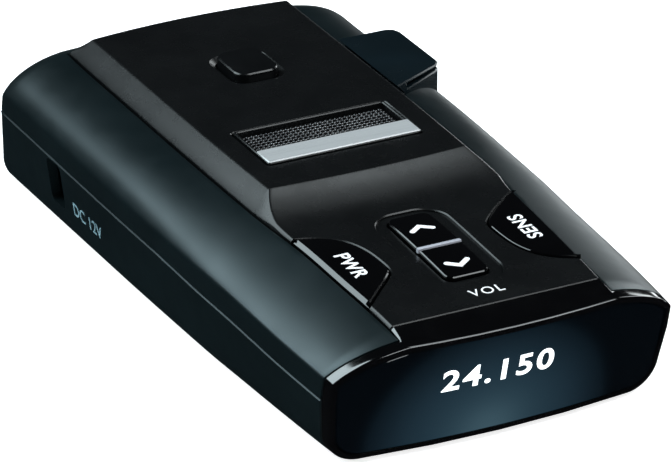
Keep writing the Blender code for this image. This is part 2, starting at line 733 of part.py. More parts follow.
def rocker_top(x, y):
    """Shallow saddle: the ends stand higher than the middle."""
    share = min(1.0, abs(y - ROCKER_Y) / ROCKER_HALF[1])
    middle, ends = ROCKER_PROUD
    return deck_height(y) + middle + (ends - middle) * share


def build_rocker():
    pivot = (0.0, ROCKER_Y, ROCKER_AXIS_Z)
    half_x, half_y = ROCKER_HALF
    outline = rocker_outline()
    sides = [(half_x, ROCKER_Y), (-half_x, ROCKER_Y)]
    outline = sorted(outline + sides, key=lambda p: math.atan2(p[1] - ROCKER_Y, p[0]))
    rocker = prism("volume_rocker", outline, KEY_FOOT_Z, rocker_top, "gloss_black")
    groove_low = rocker_top(0, ROCKER_Y) - BAR_DEEP - GAP
    bar_x, bar_y = BAR_HALF
    cut(rocker, box("bar_groove", (-2 * half_x, 2 * half_x),
                    (ROCKER_Y - bar_y - GAP, ROCKER_Y + bar_y + GAP), (groove_low, 40)))
    move_origin(rocker, pivot)
    bar = box("rocker_bar", (-bar_x, bar_x), (ROCKER_Y - bar_y, ROCKER_Y + bar_y),
              (groove_low + GAP, rocker_top(0, ROCKER_Y) + BAR_PROUD), "chrome")
    move_origin(bar, pivot)


def build_jack():
    face = JACK_FACE_X
    back = face + JACK_LENGTH
    jack = box("dc_jack", (face, back), (JACK_Y - JACK_HALF[0], JACK_Y + JACK_HALF[0]),
               (JACK_Z - JACK_HALF[1], JACK_Z + JACK_HALF[1]), "black_plastic")
    cut(jack, cylinder("jack_bore", JACK_BORE, (face - 2, JACK_Y, JACK_Z),
                       (face + JACK_BORE_DEEP, JACK_Y, JACK_Z), sides=28))
    cut(jack, cylinder("pin_seat", PIN_RADIUS + GAP, (face, JACK_Y, JACK_Z),
                       (back + 2, JACK_Y, JACK_Z), sides=16))
    cylinder("jack_pin", PIN_RADIUS, (back - 0.4 - PIN_LENGTH, JACK_Y, JACK_Z),
             (back, JACK_Y, JACK_Z), "brass", sides=16)


def build_laser_receiver():
    outline = rounded(*LASER_HALF, 1.2, (LASER_X, LASER_Z))
    window = loft("laser_window", [[(x, REAR_Y + far, z) for x, z in outline] for far in (-12, 12)],
                  "infrared_window")
    inner_face = LASER_WINDOW_SET_IN + LASER_WINDOW_THICK
    keep(window, rear_slab("laser_body", LASER_WINDOW_SET_IN, inner_face))
    half_x, half_z = LASER_SENSOR_HALF
    back = rear_y_at(LASER_X - half_x, LASER_Z + half_z) - inner_face - 3 * GAP
    box("laser_sensor", (LASER_X - half_x, LASER_X + half_x), (back - LASER_SENSOR_LENGTH, back),
        (LASER_Z - half_z, LASER_Z + half_z), "black_plastic")


def build_antenna():
    """Flared horn that opens at the rear, and the shielded receiver in front of it."""
    def ring(half, inset, y):
        right = half[0] - inset
        high = half[1] - inset
        corners = ((-right, -high), (right, -high), (right, high), (-right, high))
        return [(HORN_CENTRE[0] + x, y, HORN_CENTRE[1] + z) for x, z in corners]
    mouth = REAR_Y - HORN_INSET
    neck = mouth - HORN_LENGTH
    start = neck - HORN_NECK
    horn = loft("horn_antenna", [ring(HORN_THROAT, 0, start), ring(HORN_THROAT, 0, neck),
                                 ring(HORN_MOUTH, 0, mouth)], "tin")
    cut(horn, loft("horn_throat", [ring(HORN_THROAT, HORN_WALL, start + 2 * HORN_WALL),
                                   ring(HORN_THROAT, HORN_WALL, neck),
                                   ring(HORN_MOUTH, HORN_WALL, mouth),
                                   ring(HORN_MOUTH, HORN_WALL, mouth + 2)]))
    back = start - CAN_BEHIND
    box("receiver_can", CAN_X, (back - CAN_LENGTH, back), (BOARD_Z + BOARD_THICK + GAP, CAN_TOP), "tin")


def board(name, half_x, y_range, top):
    box(name, (-half_x, half_x), y_range, (top - BOARD_THICK, top), "board")


def build_switch(name, x, y, low, high):
    box(name, (x - SWITCH_HALF, x + SWITCH_HALF), (y - SWITCH_HALF, y + SWITCH_HALF), (low, high),
        "black_plastic")


def build_boards():
    """Main board, and a board with push switches under the keys and under the mute button."""
    half_x = min(abs(x) for x, y in SCREW_SPOTS) - POST_RADIUS - 2 * GAP
    board("main_board", half_x, (MAIN_BOARD_FRONT_Y, REAR_Y - MAIN_BOARD_INSET), BOARD_Z + BOARD_THICK)
    high = KEY_FOOT_Z - KEY_ROOM
    low = high - KEY_SWITCH_HIGH
    board("key_board", KEY_BOARD_HALF_X, KEY_BOARD_Y, low - GAP)
    build_switch("power_switch", -KEY_ORIGIN_X, KEYS_MIDDLE_Y, low, high)
    build_switch("sensitivity_switch", KEY_ORIGIN_X, KEYS_MIDDLE_Y, low, high)
    build_switch("volume_up_switch", 0.0, ROCKER_Y + ROCKER_SWITCH_REACH, low, high)
    build_switch("volume_down_switch", 0.0, ROCKER_Y - ROCKER_SWITCH_REACH, low, high)
    high = MUTE_FOOT_Z - MUTE_ROOM
    low = high - MUTE_SWITCH_HIGH
    board("top_board", TOP_BOARD_HALF_X, TOP_BOARD_Y, low - GAP)
    build_switch("mute_switch", 0.0, MUTE_Y, low, high)


def build_speaker():
    outline = rounded(*SPEAKER_HALF, 4.0, (0.0, GRILLE_Y), 4)
    top = PLATEAU_Z - WALL - SPEAKER_BELOW
    prism("speaker", outline, top - SPEAKER_HIGH, top, "black_plastic")


def build_screws():
    for number, (x, y) in enumerate(SCREW_SPOTS, 1):
        low = underside(y) + SCREW_SET_IN
        head_top = low + SCREW_HEAD_THICK
        screw = cylinder(f"case_screw_{number}", SCREW_HEAD, (x, y, low), (x, y, head_top),
                         "screw", sides=20)
        start = (low + head_top) / 2
        join(screw, cylinder("shank", SCREW_SHANK, (x, y, start), (x, y, low + SCREW_LENGTH), sides=12))


def settle(item):
    """Applies an object's Booleans and shades its round faces smooth."""
    bpy.context.view_layer.update()
    graph = bpy.context.evaluated_depsgraph_get()
    mesh = bpy.data.meshes.new_from_object(item.evaluated_get(graph))
    mesh.name = item.name
    item.modifiers.clear()
    item.data = mesh
    mesh.shade_smooth()
    mesh.set_sharp_from_angle(angle=math.radians(SMOOTH_ANGLE))


def build():
    clear_scene()
    build_shells()
    build_cover()
    build_bezel()
    build_window()
    build_display()
    build_grille()
    build_keys()
    build_rocker()
    build_jack()
    build_laser_receiver()
    build_antenna()
    build_boards()
    build_speaker()
    build_screws()
    pieces = [item for item in bpy.data.objects if not item.hide_render]
    helpers = [item for item in bpy.data.objects if item.hide_render]
    for item in pieces:
        settle(item)
    for item in helpers:
        bpy.data.objects.remove(item, do_unlink=True)


build()
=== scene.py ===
# Looks of the windscreen radar detector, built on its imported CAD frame.
# Shapes are worked out in millimetres and brought to metres when a piece is finished.
# +Z is up, the display faces -Y, the laser window faces +Y.
import math

import bmesh
import bpy
from mathutils import Matrix, Vector


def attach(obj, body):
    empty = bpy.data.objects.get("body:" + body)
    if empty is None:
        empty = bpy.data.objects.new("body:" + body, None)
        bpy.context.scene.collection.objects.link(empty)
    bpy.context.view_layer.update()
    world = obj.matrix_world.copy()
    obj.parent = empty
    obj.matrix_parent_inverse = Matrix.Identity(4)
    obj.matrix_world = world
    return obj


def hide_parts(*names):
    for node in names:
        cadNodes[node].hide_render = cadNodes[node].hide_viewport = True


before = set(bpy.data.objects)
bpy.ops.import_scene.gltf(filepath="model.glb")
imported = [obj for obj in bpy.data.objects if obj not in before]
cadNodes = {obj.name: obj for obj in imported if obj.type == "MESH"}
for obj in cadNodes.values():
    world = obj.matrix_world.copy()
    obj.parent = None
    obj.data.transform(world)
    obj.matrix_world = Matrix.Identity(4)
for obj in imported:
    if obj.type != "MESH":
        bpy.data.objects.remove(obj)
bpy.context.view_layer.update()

print("frame loaded,", len(cadNodes), "nodes")


def blend(a, b, t):
    return a + (b - a) * t


def ease(t):
    t = min(1.0, max(0.0, t))
    return t * t * (3 - 2 * t)


def spaced(first, last, count):
    return [blend(first, last, i / (count - 1)) for i in range(count)]


def loopOf(shape, points):
    # closed loop of edges through these points
    corners = [shape.verts.new(p) for p in points]
    return [shape.edges.new((corners[i - 1], corners[i])) for i in range(len(corners))]


def loftThrough(rings, closedRound=False):
    # skin over a row of closed loops, with flat ends unless it closes on itself
    shape = bmesh.new()
    loops = [loopOf(shape, ring) for ring in rings]
    for here, there in zip(loops, loops[1:]):
        bmesh.ops.bridge_loops(shape, edges=here + there)
    if closedRound:
        bmesh.ops.bridge_loops(shape, edges=loops[-1] + loops[0])
    else:
        bmesh.ops.holes_fill(shape, edges=loops[0] + loops[-1], sides=0)
    bmesh.ops.recalc_face_normals(shape, faces=shape.faces)
    return shape


def upright(outline, low, high):
    # prism over a plan outline; low and high are heights or functions of x and y
    lowAt = low if callable(low) else lambda x, y: low
    highAt = high if callable(high) else lambda x, y: high
    return loftThrough([[(x, y, lowAt(x, y)) for x, y in outline],
                        [(x, y, highAt(x, y)) for x, y in outline]])


def toObject(shape, name):
    mesh = bpy.data.meshes.new(name)
    shape.to_mesh(mesh)
    item = bpy.data.objects.new(name, mesh)
    bpy.context.scene.collection.objects.link(item)
    return item


def carve(shape, tool, how="DIFFERENCE"):
    # exact Boolean of two shapes; both are used up
    item, cutter = toObject(shape, "workpiece"), toObject(tool, "cutter")
    step = item.modifiers.new("carve", "BOOLEAN")
    step.operation, step.solver, step.object = how, "EXACT", cutter
    graph = bpy.context.evaluated_depsgraph_get()
    mesh = bpy.data.meshes.new_from_object(item.evaluated_get(graph))
    result = bmesh.new()
    result.from_mesh(mesh)
    for spent in (item, cutter):
        old = spent.data
        bpy.data.objects.remove(spent)
        bpy.data.meshes.remove(old)
    bpy.data.meshes.remove(mesh)
    shape.free()
    tool.free()
    if not result.faces:
        raise RuntimeError("a cut left nothing")
    return result


def softenEdges(shape, width, steps, wanted=None, sharper=40):
    # rounds the sharp edges whose middle passes the test
    bmesh.ops.remove_doubles(shape, verts=shape.verts, dist=min(0.05, width * 0.3))
    shape.normal_update()
    picked = []
    for edge in shape.edges:
        if len(edge.link_faces) == 2 and edge.calc_face_angle(0) > math.radians(sharper):
            middle = (edge.verts[0].co + edge.verts[1].co) / 2
            if wanted is None or wanted(middle):
                picked.append(edge)
    bmesh.ops.bevel(shape, geom=picked, offset=width, offset_type="OFFSET", segments=steps,
                    profile=0.5, affect="EDGES", clamp_overlap=False, material=-1)
    return shape


def roundedBox(halfX, halfY, radius, middle=(0.0, 0.0), steps=6):
    # plan outline of a rectangle with round corners
    points = []
    for corner in range(4):
        sideX = 1 if corner in (0, 3) else -1
        sideY = 1 if corner in (0, 1) else -1
        for step in range(steps + 1):
            angle = math.radians(90 * corner + 90 * step / steps)
            points.append((middle[0] + sideX * (halfX - radius) + radius * math.cos(angle),
                           middle[1] + sideY * (halfY - radius) + radius * math.sin(angle)))
    return points


def growOutline(outline, distance):
    # outline moved outwards along its corner normals; runs counter-clockwise
    grown = []
    for i in range(len(outline)):
        here = Vector(outline[i])
        first = (here - Vector(outline[i - 1])).normalized()
        second = (Vector(outline[(i + 1) % len(outline)]) - here).normalized()
        normal = Vector((first.y + second.y, -first.x - second.x)).normalized()
        reach = distance / max(0.5, normal.dot(Vector((first.y, -first.x))))
        grown.append((here.x + normal.x * reach, here.y + normal.y * reach))
    return grown


def turnedLeft(outline):
    area = sum(outline[i - 1][0] * outline[i][1] - outline[i][0] * outline[i - 1][1]
               for i in range(len(outline)))
    return list(outline) if area > 0 else list(reversed(outline))


def smoothedCurve(points, rounds):
    # cuts the corners of a polyline a few times
    for _ in range(rounds):
        cut = [points[0]]
        for a, b in zip(points, points[1:]):
            cut += [(blend(a[0], b[0], t), blend(a[1], b[1], t)) for t in (0.25, 0.75)]
        points = cut + [points[-1]]
    return points


def flatSheet(points):
    shape = bmesh.new()
    shape.faces.new([shape.verts.new(point) for point in points])
    return shape


def cutAcross(shape, places, way):
    # rows of cuts across a flat sheet, so that it can follow a curve
    for place in places:
        bmesh.ops.bisect_plane(shape, geom=shape.verts[:] + shape.edges[:] + shape.faces[:],
                               plane_co=Vector(way) * place, plane_no=way)


def pushOut(shape):
    # extrudes a whole sheet and gives back the new corners
    grown = bmesh.ops.extrude_face_region(shape, geom=shape.faces[:])
    return [item for item in grown["geom"] if isinstance(item, bmesh.types.BMVert)]


def roundSpot(start, corner, end, t):
    # point of a soft corner between two points
    return start * (1 - t) ** 2 + corner * 2 * t * (1 - t) + end * t ** 2


def finishPiece(name, shape, finish, body="case", sharp=24, replaces=(), sheet=False):
    bmesh.ops.remove_doubles(shape, verts=shape.verts, dist=0.002)
    if not sheet:
        bmesh.ops.recalc_face_normals(shape, faces=shape.faces)
    bmesh.ops.scale(shape, vec=(0.001, 0.001, 0.001), verts=shape.verts)
    piece = toObject(shape, name)
    shape.free()
    piece.data.shade_smooth()
    piece.data.set_sharp_from_angle(angle=math.radians(sharp))
    piece.data.materials.append(finish)
    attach(piece, body)
    if replaces:
        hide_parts(*replaces)


def shaderOf(finish):
    return finish.node_tree.nodes["Principled BSDF"]


def newFinish(name, colour, roughness, metallic=0.0, specular=0.5, glow=None, tint=None):
    # glow is a colour and a strength
    made = bpy.data.materials.new(name)
    made.use_nodes = True
    shader = shaderOf(made)
    shader.inputs["Base Color"].default_value = (*colour, 1)
    shader.inputs["Roughness"].default_value = roughness
    shader.inputs["Metallic"].default_value = metallic
    shader.inputs["Specular IOR Level"].default_value = specular
    if glow:
        shader.inputs["Emission Color"].default_value = (*glow[0], 1)
        shader.inputs["Emission Strength"].default_value = glow[1]
    if tint:
        shader.inputs["Specular Tint"].default_value = (*tint, 1)
    made.diffuse_color = (*colour, 1)
    return made


def linkNodes(finish, source, target, fromSocket=0, toSocket=0):
    finish.node_tree.links.new(source.outputs[fromSocket], target.inputs[toSocket])


def addNode(finish, kind, **settings):
    # settings are the node's sockets or its own properties
    node = finish.node_tree.nodes.new(kind)
    for key, value in settings.items():
        if key in node.inputs:
            node.inputs[key].default_value = value
        else:
            setattr(node, key, value)
    return node


def placeOn(finish, scale=(1, 1, 1), move=(0, 0, 0)):
    # object coordinates through a mapping node
    coords = addNode(finish, "ShaderNodeTexCoord")
    mapping = addNode(finish, "ShaderNodeMapping")
    mapping.inputs["Scale"].default_value = scale
    mapping.inputs["Location"].default_value = move
    linkNodes(finish, coords, mapping, "Object", "Vector")
    return mapping


def addNoise(finish, scale, detail, mapping=None):
    noise = addNode(finish, "ShaderNodeTexNoise", Scale=scale, Detail=detail)
    linkNodes(finish, mapping or placeOn(finish), noise, 0, "Vector")
    return noise


def addRamp(finish, source, stops, target):
    # colours along a grade, given as place and colour
    ramp = addNode(finish, "ShaderNodeValToRGB")
    ends = ramp.color_ramp.elements
    for end, (place, colour) in zip(ends, (stops[0], stops[-1])):
        end.position, end.color = place, (*colour, 1)
    for place, colour in stops[1:-1]:
        ends.new(place).color = (*colour, 1)
    linkNodes(finish, source, ramp, 0, "Fac")
    linkNodes(finish, ramp, shaderOf(finish), 0, target)
    return ramp


def addBump(finish, source, strength, height):
    bump = addNode(finish, "ShaderNodeBump", Strength=strength, Distance=height)
    linkNodes(finish, source, bump, 0, "Height")
    linkNodes(finish, bump, shaderOf(finish), 0, "Normal")


def addGrain(finish, scale, strength, height):
    # fine bump
    addBump(finish, addNoise(finish, scale, 3.0), strength, height)


def addTones(finish, scale, light, dark):
    # slow change of colour between two close tones
    addRamp(finish, addNoise(finish, scale, 4.0), ((0.35, dark), (0.68, light)), "Base Color")


def addHandling(finish, scale, low, high):
    # roughness wanders between two values, as handling leaves it
    spread = addNode(finish, "ShaderNodeMapRange")
    spread.inputs["From Min"].default_value, spread.inputs["From Max"].default_value = 0.3, 0.7
    spread.inputs["To Min"].default_value, spread.inputs["To Max"].default_value = low, high
    linkNodes(finish, addNoise(finish, scale, 5.0), spread, 0, "Value")
    linkNodes(finish, spread, shaderOf(finish), 0, "Roughness")


def mixFinish(name, colour, roughness, tones, handling, grain=None, **others):
    made = newFinish(name, colour, roughness, **others)
    addTones(made, *tones)
    addHandling(made, *handling)
    if grain:
        addGrain(made, *grain)
    return made


def smokyWindowPaintedGlow():
    # smoky clear plastic with a painted glow: emission in the window stands in for the light of the lit
    # panel behind it, brightest in the lower middle
    made = newFinish("smokyWindowPaintedGlow", (0.0008, 0.0011, 0.0016), 0.06)
    glow = placeOn(made, (39, 30, 40), (0.10, 2.0, -0.06))
    grade = addNode(made, "ShaderNodeTexGradient", gradient_type="SPHERICAL")
    linkNodes(made, glow, grade)
    # painted glow: the spherical grade sets the window's emission colour, brightest low in the middle
    ramp = addRamp(made, grade, ((0.0, (0.0, 0.0004, 0.0008)), (0.12, (0.001, 0.003, 0.005)),
                                 (0.42, (0.012, 0.028, 0.042)), (0.72, (0.018, 0.042, 0.060)),
                                 (1.0, (0.066, 0.124, 0.155))), "Emission Color")
    ramp.color_ramp.interpolation = "B_SPLINE"
    shaderOf(made).inputs["Emission Strength"].default_value = 1.0
    addHandling(made, 240, 0.04, 0.09)
    addGrain(made, 500, 0.015, 0.00002)
    return made


def brushedSilver():
    # fine lines along the length of the plate
    made = newFinish("brushedSilver", (0.62, 0.63, 0.64), 0.34, metallic=0.25)
    streaks = addNoise(made, 1.0, 3.0, placeOn(made, (40, 9000, 9000)))
    addRamp(made, streaks, ((0.0, (0.42, 0.43, 0.44)), (1.0, (0.72, 0.73, 0.74))), "Base Color")
    addBump(made, streaks, 0.12, 0.00003)
    return made


# name, colour, roughness; then the tones' scale, light and dark colour, the handling's scale,
# least and greatest roughness, and the grain's scale, strength and height in metres
finishes = {
    "shell": mixFinish("slateSoftPaint", (0.003, 0.007, 0.0085), 0.36,
                       (60, (0.0034, 0.0080, 0.0096), (0.0025, 0.0060, 0.0072)),
                       (180, 0.33, 0.39), (9000, 0.05, 0.00002), tint=(0.78, 0.95, 1.0)),
    "shoe": mixFinish("smoothSlatePaint", (0.004, 0.009, 0.012), 0.24,
                      (80, (0.005, 0.011, 0.015), (0.0034, 0.0078, 0.0105)),
                      (200, 0.21, 0.28), (9000, 0.04, 0.00002), specular=0.45),
    "cover": mixFinish("satinBlackPlastic", (0.005, 0.0055, 0.006), 0.27,
                       (80, (0.006, 0.0065, 0.007), (0.0042, 0.0046, 0.005)),
                       (200, 0.24, 0.30), (11000, 0.06, 0.00002), specular=0.35),
    "gloss": mixFinish("pianoBlackPlastic", (0.0016, 0.0016, 0.002), 0.07,
                       (60, (0.0019, 0.0019, 0.0023), (0.0012, 0.0012, 0.0015)),
                       (260, 0.05, 0.11), (700, 0.02, 0.00002)),
    "lacquer": mixFinish("bezelLacquer", (0.0014, 0.0014, 0.0018), 0.08,
                         (60, (0.0017, 0.0017, 0.0021), (0.0010, 0.0010, 0.0013)),
                         (260, 0.06, 0.12), (700, 0.02, 0.00002), specular=0.9),
    "window": smokyWindowPaintedGlow(),
    "infrared": mixFinish("infraredWindow", (0.012, 0.002, 0.004), 0.08,
                          (90, (0.014, 0.003, 0.005), (0.008, 0.002, 0.003)),
                          (220, 0.06, 0.12), (700, 0.02, 0.00002)),
    "silver": brushedSilver(),
    "chrome": mixFinish("brightChrome", (0.82, 0.83, 0.88), 0.22,
                        (300, (0.80, 0.81, 0.90), (0.70, 0.71, 0.80)),
                        (500, 0.18, 0.28), (4000, 0.02, 0.00001), metallic=0.3),
    "mesh": mixFinish("perforatedSheet", (0.10, 0.10, 0.103), 0.11,
                      (500, (0.125, 0.125, 0.128), (0.055, 0.055, 0.058)),
                      (700, 0.20, 0.32), (12000, 0.05, 0.00001), metallic=0.95),
    # the pale ink also carries a faint painted glow, emission that brightens the print beyond what the
    # lamps give it
    "ink": mixFinish("paleInkWithPaintedGlow", (0.86, 0.88, 0.90), 0.5,
                     (900, (0.90, 0.91, 0.93), (0.78, 0.80, 0.83)), (900, 0.45, 0.6),
                     (9000, 0.05, 0.00001), specular=0.3, glow=((0.95, 0.98, 1.0), 0.35)),
    "sideInk": mixFinish("greyInk", (0.16, 0.28, 0.33), 0.5,
                         (900, (0.20, 0.34, 0.39), (0.12, 0.22, 0.26)),
                         (900, 0.45, 0.6), (9000, 0.05, 0.00001), specular=0.3),
    "softGloss": mixFinish("softGlossBlack", (0.004, 0.0045, 0.005), 0.20,
                           (90, (0.005, 0.0055, 0.006), (0.0034, 0.0038, 0.0042)),
                           (260, 0.17, 0.25), (9000, 0.04, 0.00002), specular=0.4),
    "glow": mixFinish("glowingFigures", (0.9, 0.95, 1.0), 0.4,
                      (700, (0.92, 0.97, 1.0), (0.80, 0.88, 0.95)), (700, 0.35, 0.5),
                      glow=((0.93, 0.98, 1.0), 1.1)),
    "plastic": mixFinish("mouldedBlack", (0.010, 0.010, 0.011), 0.42,
                         (150, (0.013, 0.013, 0.014), (0.007, 0.007, 0.008)),
                         (300, 0.36, 0.5), (9000, 0.12, 0.00003), specular=0.35),
    "screw": mixFinish("blackedSteel", (0.045, 0.045, 0.05), 0.34,
                       (600, (0.06, 0.06, 0.065), (0.03, 0.03, 0.033)),
                       (800, 0.26, 0.46), (6000, 0.06, 0.00002), metallic=0.9),
    "brass": mixFinish("platedBrass", (0.75, 0.55, 0.25), 0.22,
                       (500, (0.80, 0.60, 0.28), (0.62, 0.44, 0.19)),
                       (800, 0.18, 0.34), (5000, 0.03, 0.00001), metallic=1.0),
    "tin": mixFinish("tinnedSheet", (0.6, 0.6, 0.58), 0.34,
                     (220, (0.66, 0.66, 0.64), (0.50, 0.50, 0.49)),
                     (260, 0.26, 0.46), (4000, 0.05, 0.00002), metallic=1.0),
    "board": mixFinish("solderResist", (0.02, 0.10, 0.05), 0.32,
                       (420, (0.022, 0.12, 0.06), (0.012, 0.07, 0.034)),
                       (260, 0.26, 0.4), (2600, 0.06, 0.00003), specular=0.45),
}
print("finishes mixed")

# the case's own measures, shared by its pieces; each row is a station along the case, in the
# order of rowNames, and the shoulder's x and z are the control point of its curve
caseLines = {
    "rowNames": ("y", "plateauX", "seamX", "deckZ", "shoulderX", "shoulderZ", "creaseX", "creaseZ",
                 "footX", "lowZ", "cornerRadius"),
    "rows": ((68.0, 19.9, 23.4, 26.0, 32.9, 25.3, 35.4, 19.2, 33.9, 0.0, 3.2),
             (20.0, 19.8, 23.3, 26.0, 32.8, 25.2, 35.3, 19.3, 33.8, 0.0, 4.3),
             (-14.0, 19.2, 22.8, 26.0, 32.1, 23.4, 34.7, 19.2, 33.3, 0.0, 4.9),
             (-27.0, 18.6, 21.6, 26.0, 31.2, 22.75, 34.1, 18.9, 32.8, 0.1, 5.1),
             (-45.0, 18.0, 20.8, 25.3, 29.9, 22.1, 33.5, 18.3, 32.2, 0.4, 5.4),
             (-55.0, 17.6, 20.3, 24.75, 29.3, 21.75, 32.9, 17.9, 31.8, 0.6, 5.6),
             (-63.3, 17.4, 20.0, 23.9, 29.0, 21.6, 32.3, 17.4, 31.5, 0.85, 5.8),
             (-67.2, 16.8, 19.4, 23.4, 28.7, 21.2, 32.0, 17.2, 31.3, 0.95, 5.9)),
    "plateauTop": 29.5, "rearCrest": 60.0, "rearSlope": 1.9, "rearCrestBow": 1.6, "rearSoftness": 0.45,
    "frontCrest": -13.9, "frontRise": 0.56, "frontCrestBow": 0.9, "frontSoftness": 0.02,
    "scoopLength": 12.6,
    "frontY": -67.2, "frontTop": 23.4, "frontBow": 0.0027, "endRake": 0.24,
    "rearY": 67.1, "rearTop": 26.0, "rearBow": 0.0024,
    "splitZ": 15.1, "splitFall": 0.032, "gap": 0.3, "wall": 1.8,
    "bezelBand": 2.9, "coverRear": 62.0, "lipY": -60.0, "wallIn": 0.05,
    "shoulderSteps": 22, "shoulderEnd": 0.955, "arcSteps": 12,
}


def tangentsOf(column):
    # slopes for a curve through the rows that never overshoots them
    rows = caseLines["rows"]
    ys = [row[0] for row in rows]
    slopes = [(rows[i + 1][column] - rows[i][column]) / (ys[i + 1] - ys[i])
              for i in range(len(rows) - 1)]
    inner = [0.0 if a * b <= 0 else 2 * a * b / (a + b) for a, b in zip(slopes, slopes[1:])]
    return [slopes[0]] + inner + [slopes[-1]]


rowSlopes = [tangentsOf(column) for column in range(len(caseLines["rowNames"]))]


def lineAt(y):
    # the case's measures at a station, by name
    rows, names = caseLines["rows"], caseLines["rowNames"]
    y = min(rows[0][0], max(rows[-1][0], y))
    for i in range(len(rows) - 1):
        if y >= rows[i + 1][0]:
            break
    span = rows[i + 1][0] - rows[i][0]
    t = (y - rows[i][0]) / span
    found = {"y": y}
    for column in range(1, len(names)):
        a, b = rows[i][column], rows[i + 1][column]
        slopeA, slopeB = rowSlopes[column][i] * span, rowSlopes[column][i + 1] * span
        found[names[column]] = ((2 * t ** 3 - 3 * t ** 2 + 1) * a + (t ** 3 - 2 * t ** 2 + t) * slopeA
                                + (3 * t ** 2 - 2 * t ** 3) * b + (t ** 3 - t ** 2) * slopeB)
    return found


def seamX(y):
    return lineAt(y)["seamX"]


def deckHeight(y):
    return lineAt(y)["deckZ"]


def splitHeight(y):
    return caseLines["splitZ"] + caseLines["splitFall"] * min(0.0, y)


seamStep = {"rear": 0.3, "front": 0.72, "lessAtBezel": 0.2}


def seamDrop(y):
    # the shells' edge lies a little under the centre cover's
    d = seamStep
    ahead = blend(d["rear"], d["front"], ease((-14 - y) / 12)) - d["lessAtBezel"] * ease((-55 - y) / 6)
    return ahead * ease((caseLines["coverRear"] - y) / 6)


def frontFace(x, z):
    lines = caseLines
    return lines["frontY"] + lines["endRake"] * (lines["frontTop"] - z) + lines["frontBow"] * x * x


def rearFace(x, z):
    lines = caseLines
    return lines["rearY"] + lines["endRake"] * (lines["rearTop"] - z) - lines["rearBow"] * x * x


def creaseOf(line, inset=0.0):
    return Vector((line["creaseX"] - inset, line["creaseZ"] - 0.5 * inset))


def shoulderPoint(line, t, inset=0.0):
    drop = seamDrop(line["y"])
    start = Vector((line["seamX"] - 0.4 * inset, line["deckZ"] - inset - drop))
    control = Vector((line["shoulderX"] - 0.75 * inset, line["shoulderZ"] - 0.85 * inset - 0.3 * drop))
    return roundSpot(start, control, creaseOf(line, inset), t)


def caseHalf(y, inset=0.0):
    # right half of the section without the raised centre, top middle to bottom middle
    line = lineAt(y)
    low, radius = line["lowZ"], line["cornerRadius"]
    top, seam = line["deckZ"] - inset - seamDrop(y), line["seamX"] - 0.4 * inset
    points = [(0.0, top), (seam * 0.35, top), (seam * 0.7, top), (seam - 0.5, top)]
    steps, last = caseLines["shoulderSteps"], caseLines["shoulderEnd"]
    points += [tuple(shoulderPoint(line, last * i / (steps - 1), inset)) for i in range(steps)]
    # small round over the crease, held by close neighbours
    crease = creaseOf(line, inset)
    before, after = Vector(points[-1]), Vector((crease.x - 0.004, crease.y - 0.42))
    points += [tuple(roundSpot(before, crease, after, t)) for t in (0.25, 0.5, 0.75, 1.0)]
    points.append((crease.x - 0.01, crease.y - 0.75))
    split = (line["creaseX"] - caseLines["wallIn"] - inset, splitHeight(y))
    points += [(split[0], split[1] + 0.6), split]
    roundIn = radius - 0.6 * inset
    centre = (line["footX"] - inset - roundIn, low + inset + roundIn)
    points.append((blend(split[0], centre[0] + roundIn, 0.5), blend(split[1], centre[1], 0.5)))
    steps = caseLines["arcSteps"]
    for i in range(steps + 1):
        angle = math.radians(90 * i / steps)
        points.append((centre[0] + roundIn * math.cos(angle), centre[1] - roundIn * math.sin(angle)))
    return points + [(line["footX"] * 0.4, low + inset), (0.0, low + inset)]


def wholeRound(half):
    return half + [(-x, z) for x, z in reversed(half[1:-1])]


def caseRing(y, inset=0.0):
    return [(x, y, z) for x, z in wholeRound(caseHalf(y, inset))]


# the rear end's edge is rounder above roundFrom; closing is how far the section draws in
rearEnd = {"lowRound": 2.8, "highRound": 4.6, "roundFrom": 16.0, "roundOver": 5.0, "closing": 2.1,
           "sideShare": 0.2, "halfX": 35, "middleZ": 13.5, "beyond": 5.0,
           "turns": (86, 78, 70, 62, 54, 46, 38, 30, 22, 14, 6), "innerTurns": (80, 50, 20)}


def rearRings(inset=0.0, turns=rearEnd["turns"]):
    # the sides and the top roll over into the rear face
    d = rearEnd
    rings = []
    base = wholeRound(caseHalf(caseLines["rows"][0][0], inset))
    for degrees, beyond in [(turns[0], d["beyond"])] + [(turn, 0.0) for turn in turns]:
        turn = math.radians(degrees)
        closing = d["closing"] * (1 - math.cos(turn)) * (1 - inset / d["highRound"])
        ring = []
        for x, z in base:
            radius = blend(d["lowRound"], d["highRound"], ease((z - d["roundFrom"]) / d["roundOver"]))
            before = inset + (radius - inset) * (1 - math.sin(turn))
            ring.append((x * (1 - d["sideShare"] * closing / d["halfX"]),
                         rearFace(x, z) - before + beyond,
                         d["middleZ"] + (z - d["middleZ"]) * (1 - closing / d["middleZ"])))
        rings.append(ring)
    return rings


def betweenEnds(front, rear):
    # everything between the two bowed end faces, each moved in by its own distance
    low, high = -6, 34
    return loftThrough([[(x, frontFace(x, low) + front, low), (x, frontFace(x, high) + front, high),
                         (x, rearFace(x, high) - rear, high), (x, rearFace(x, low) - rear, low)]
                        for x in spaced(-38.0, 38.0, 61)])


shellStations = [58.0, 54.0, 50.0, 45.0, 40.0, 35.0, 30.0, 25.0, 20.0, 14.0, 8.0, 3.0, -2.0, -6.0,
                 -10.0, -14.0, -18.0, -22.0, -27.0, -32.0, -36.0, -40.0, -45.0, -50.0, -55.0,
                 -59.0, -63.3, -67.2]


def caseSolid():
    rings = rearRings() + [caseRing(y) for y in shellStations]
    rings.append([(x, y - 7, z) for x, y, z in rings[-1]])
    return loftThrough(rings)


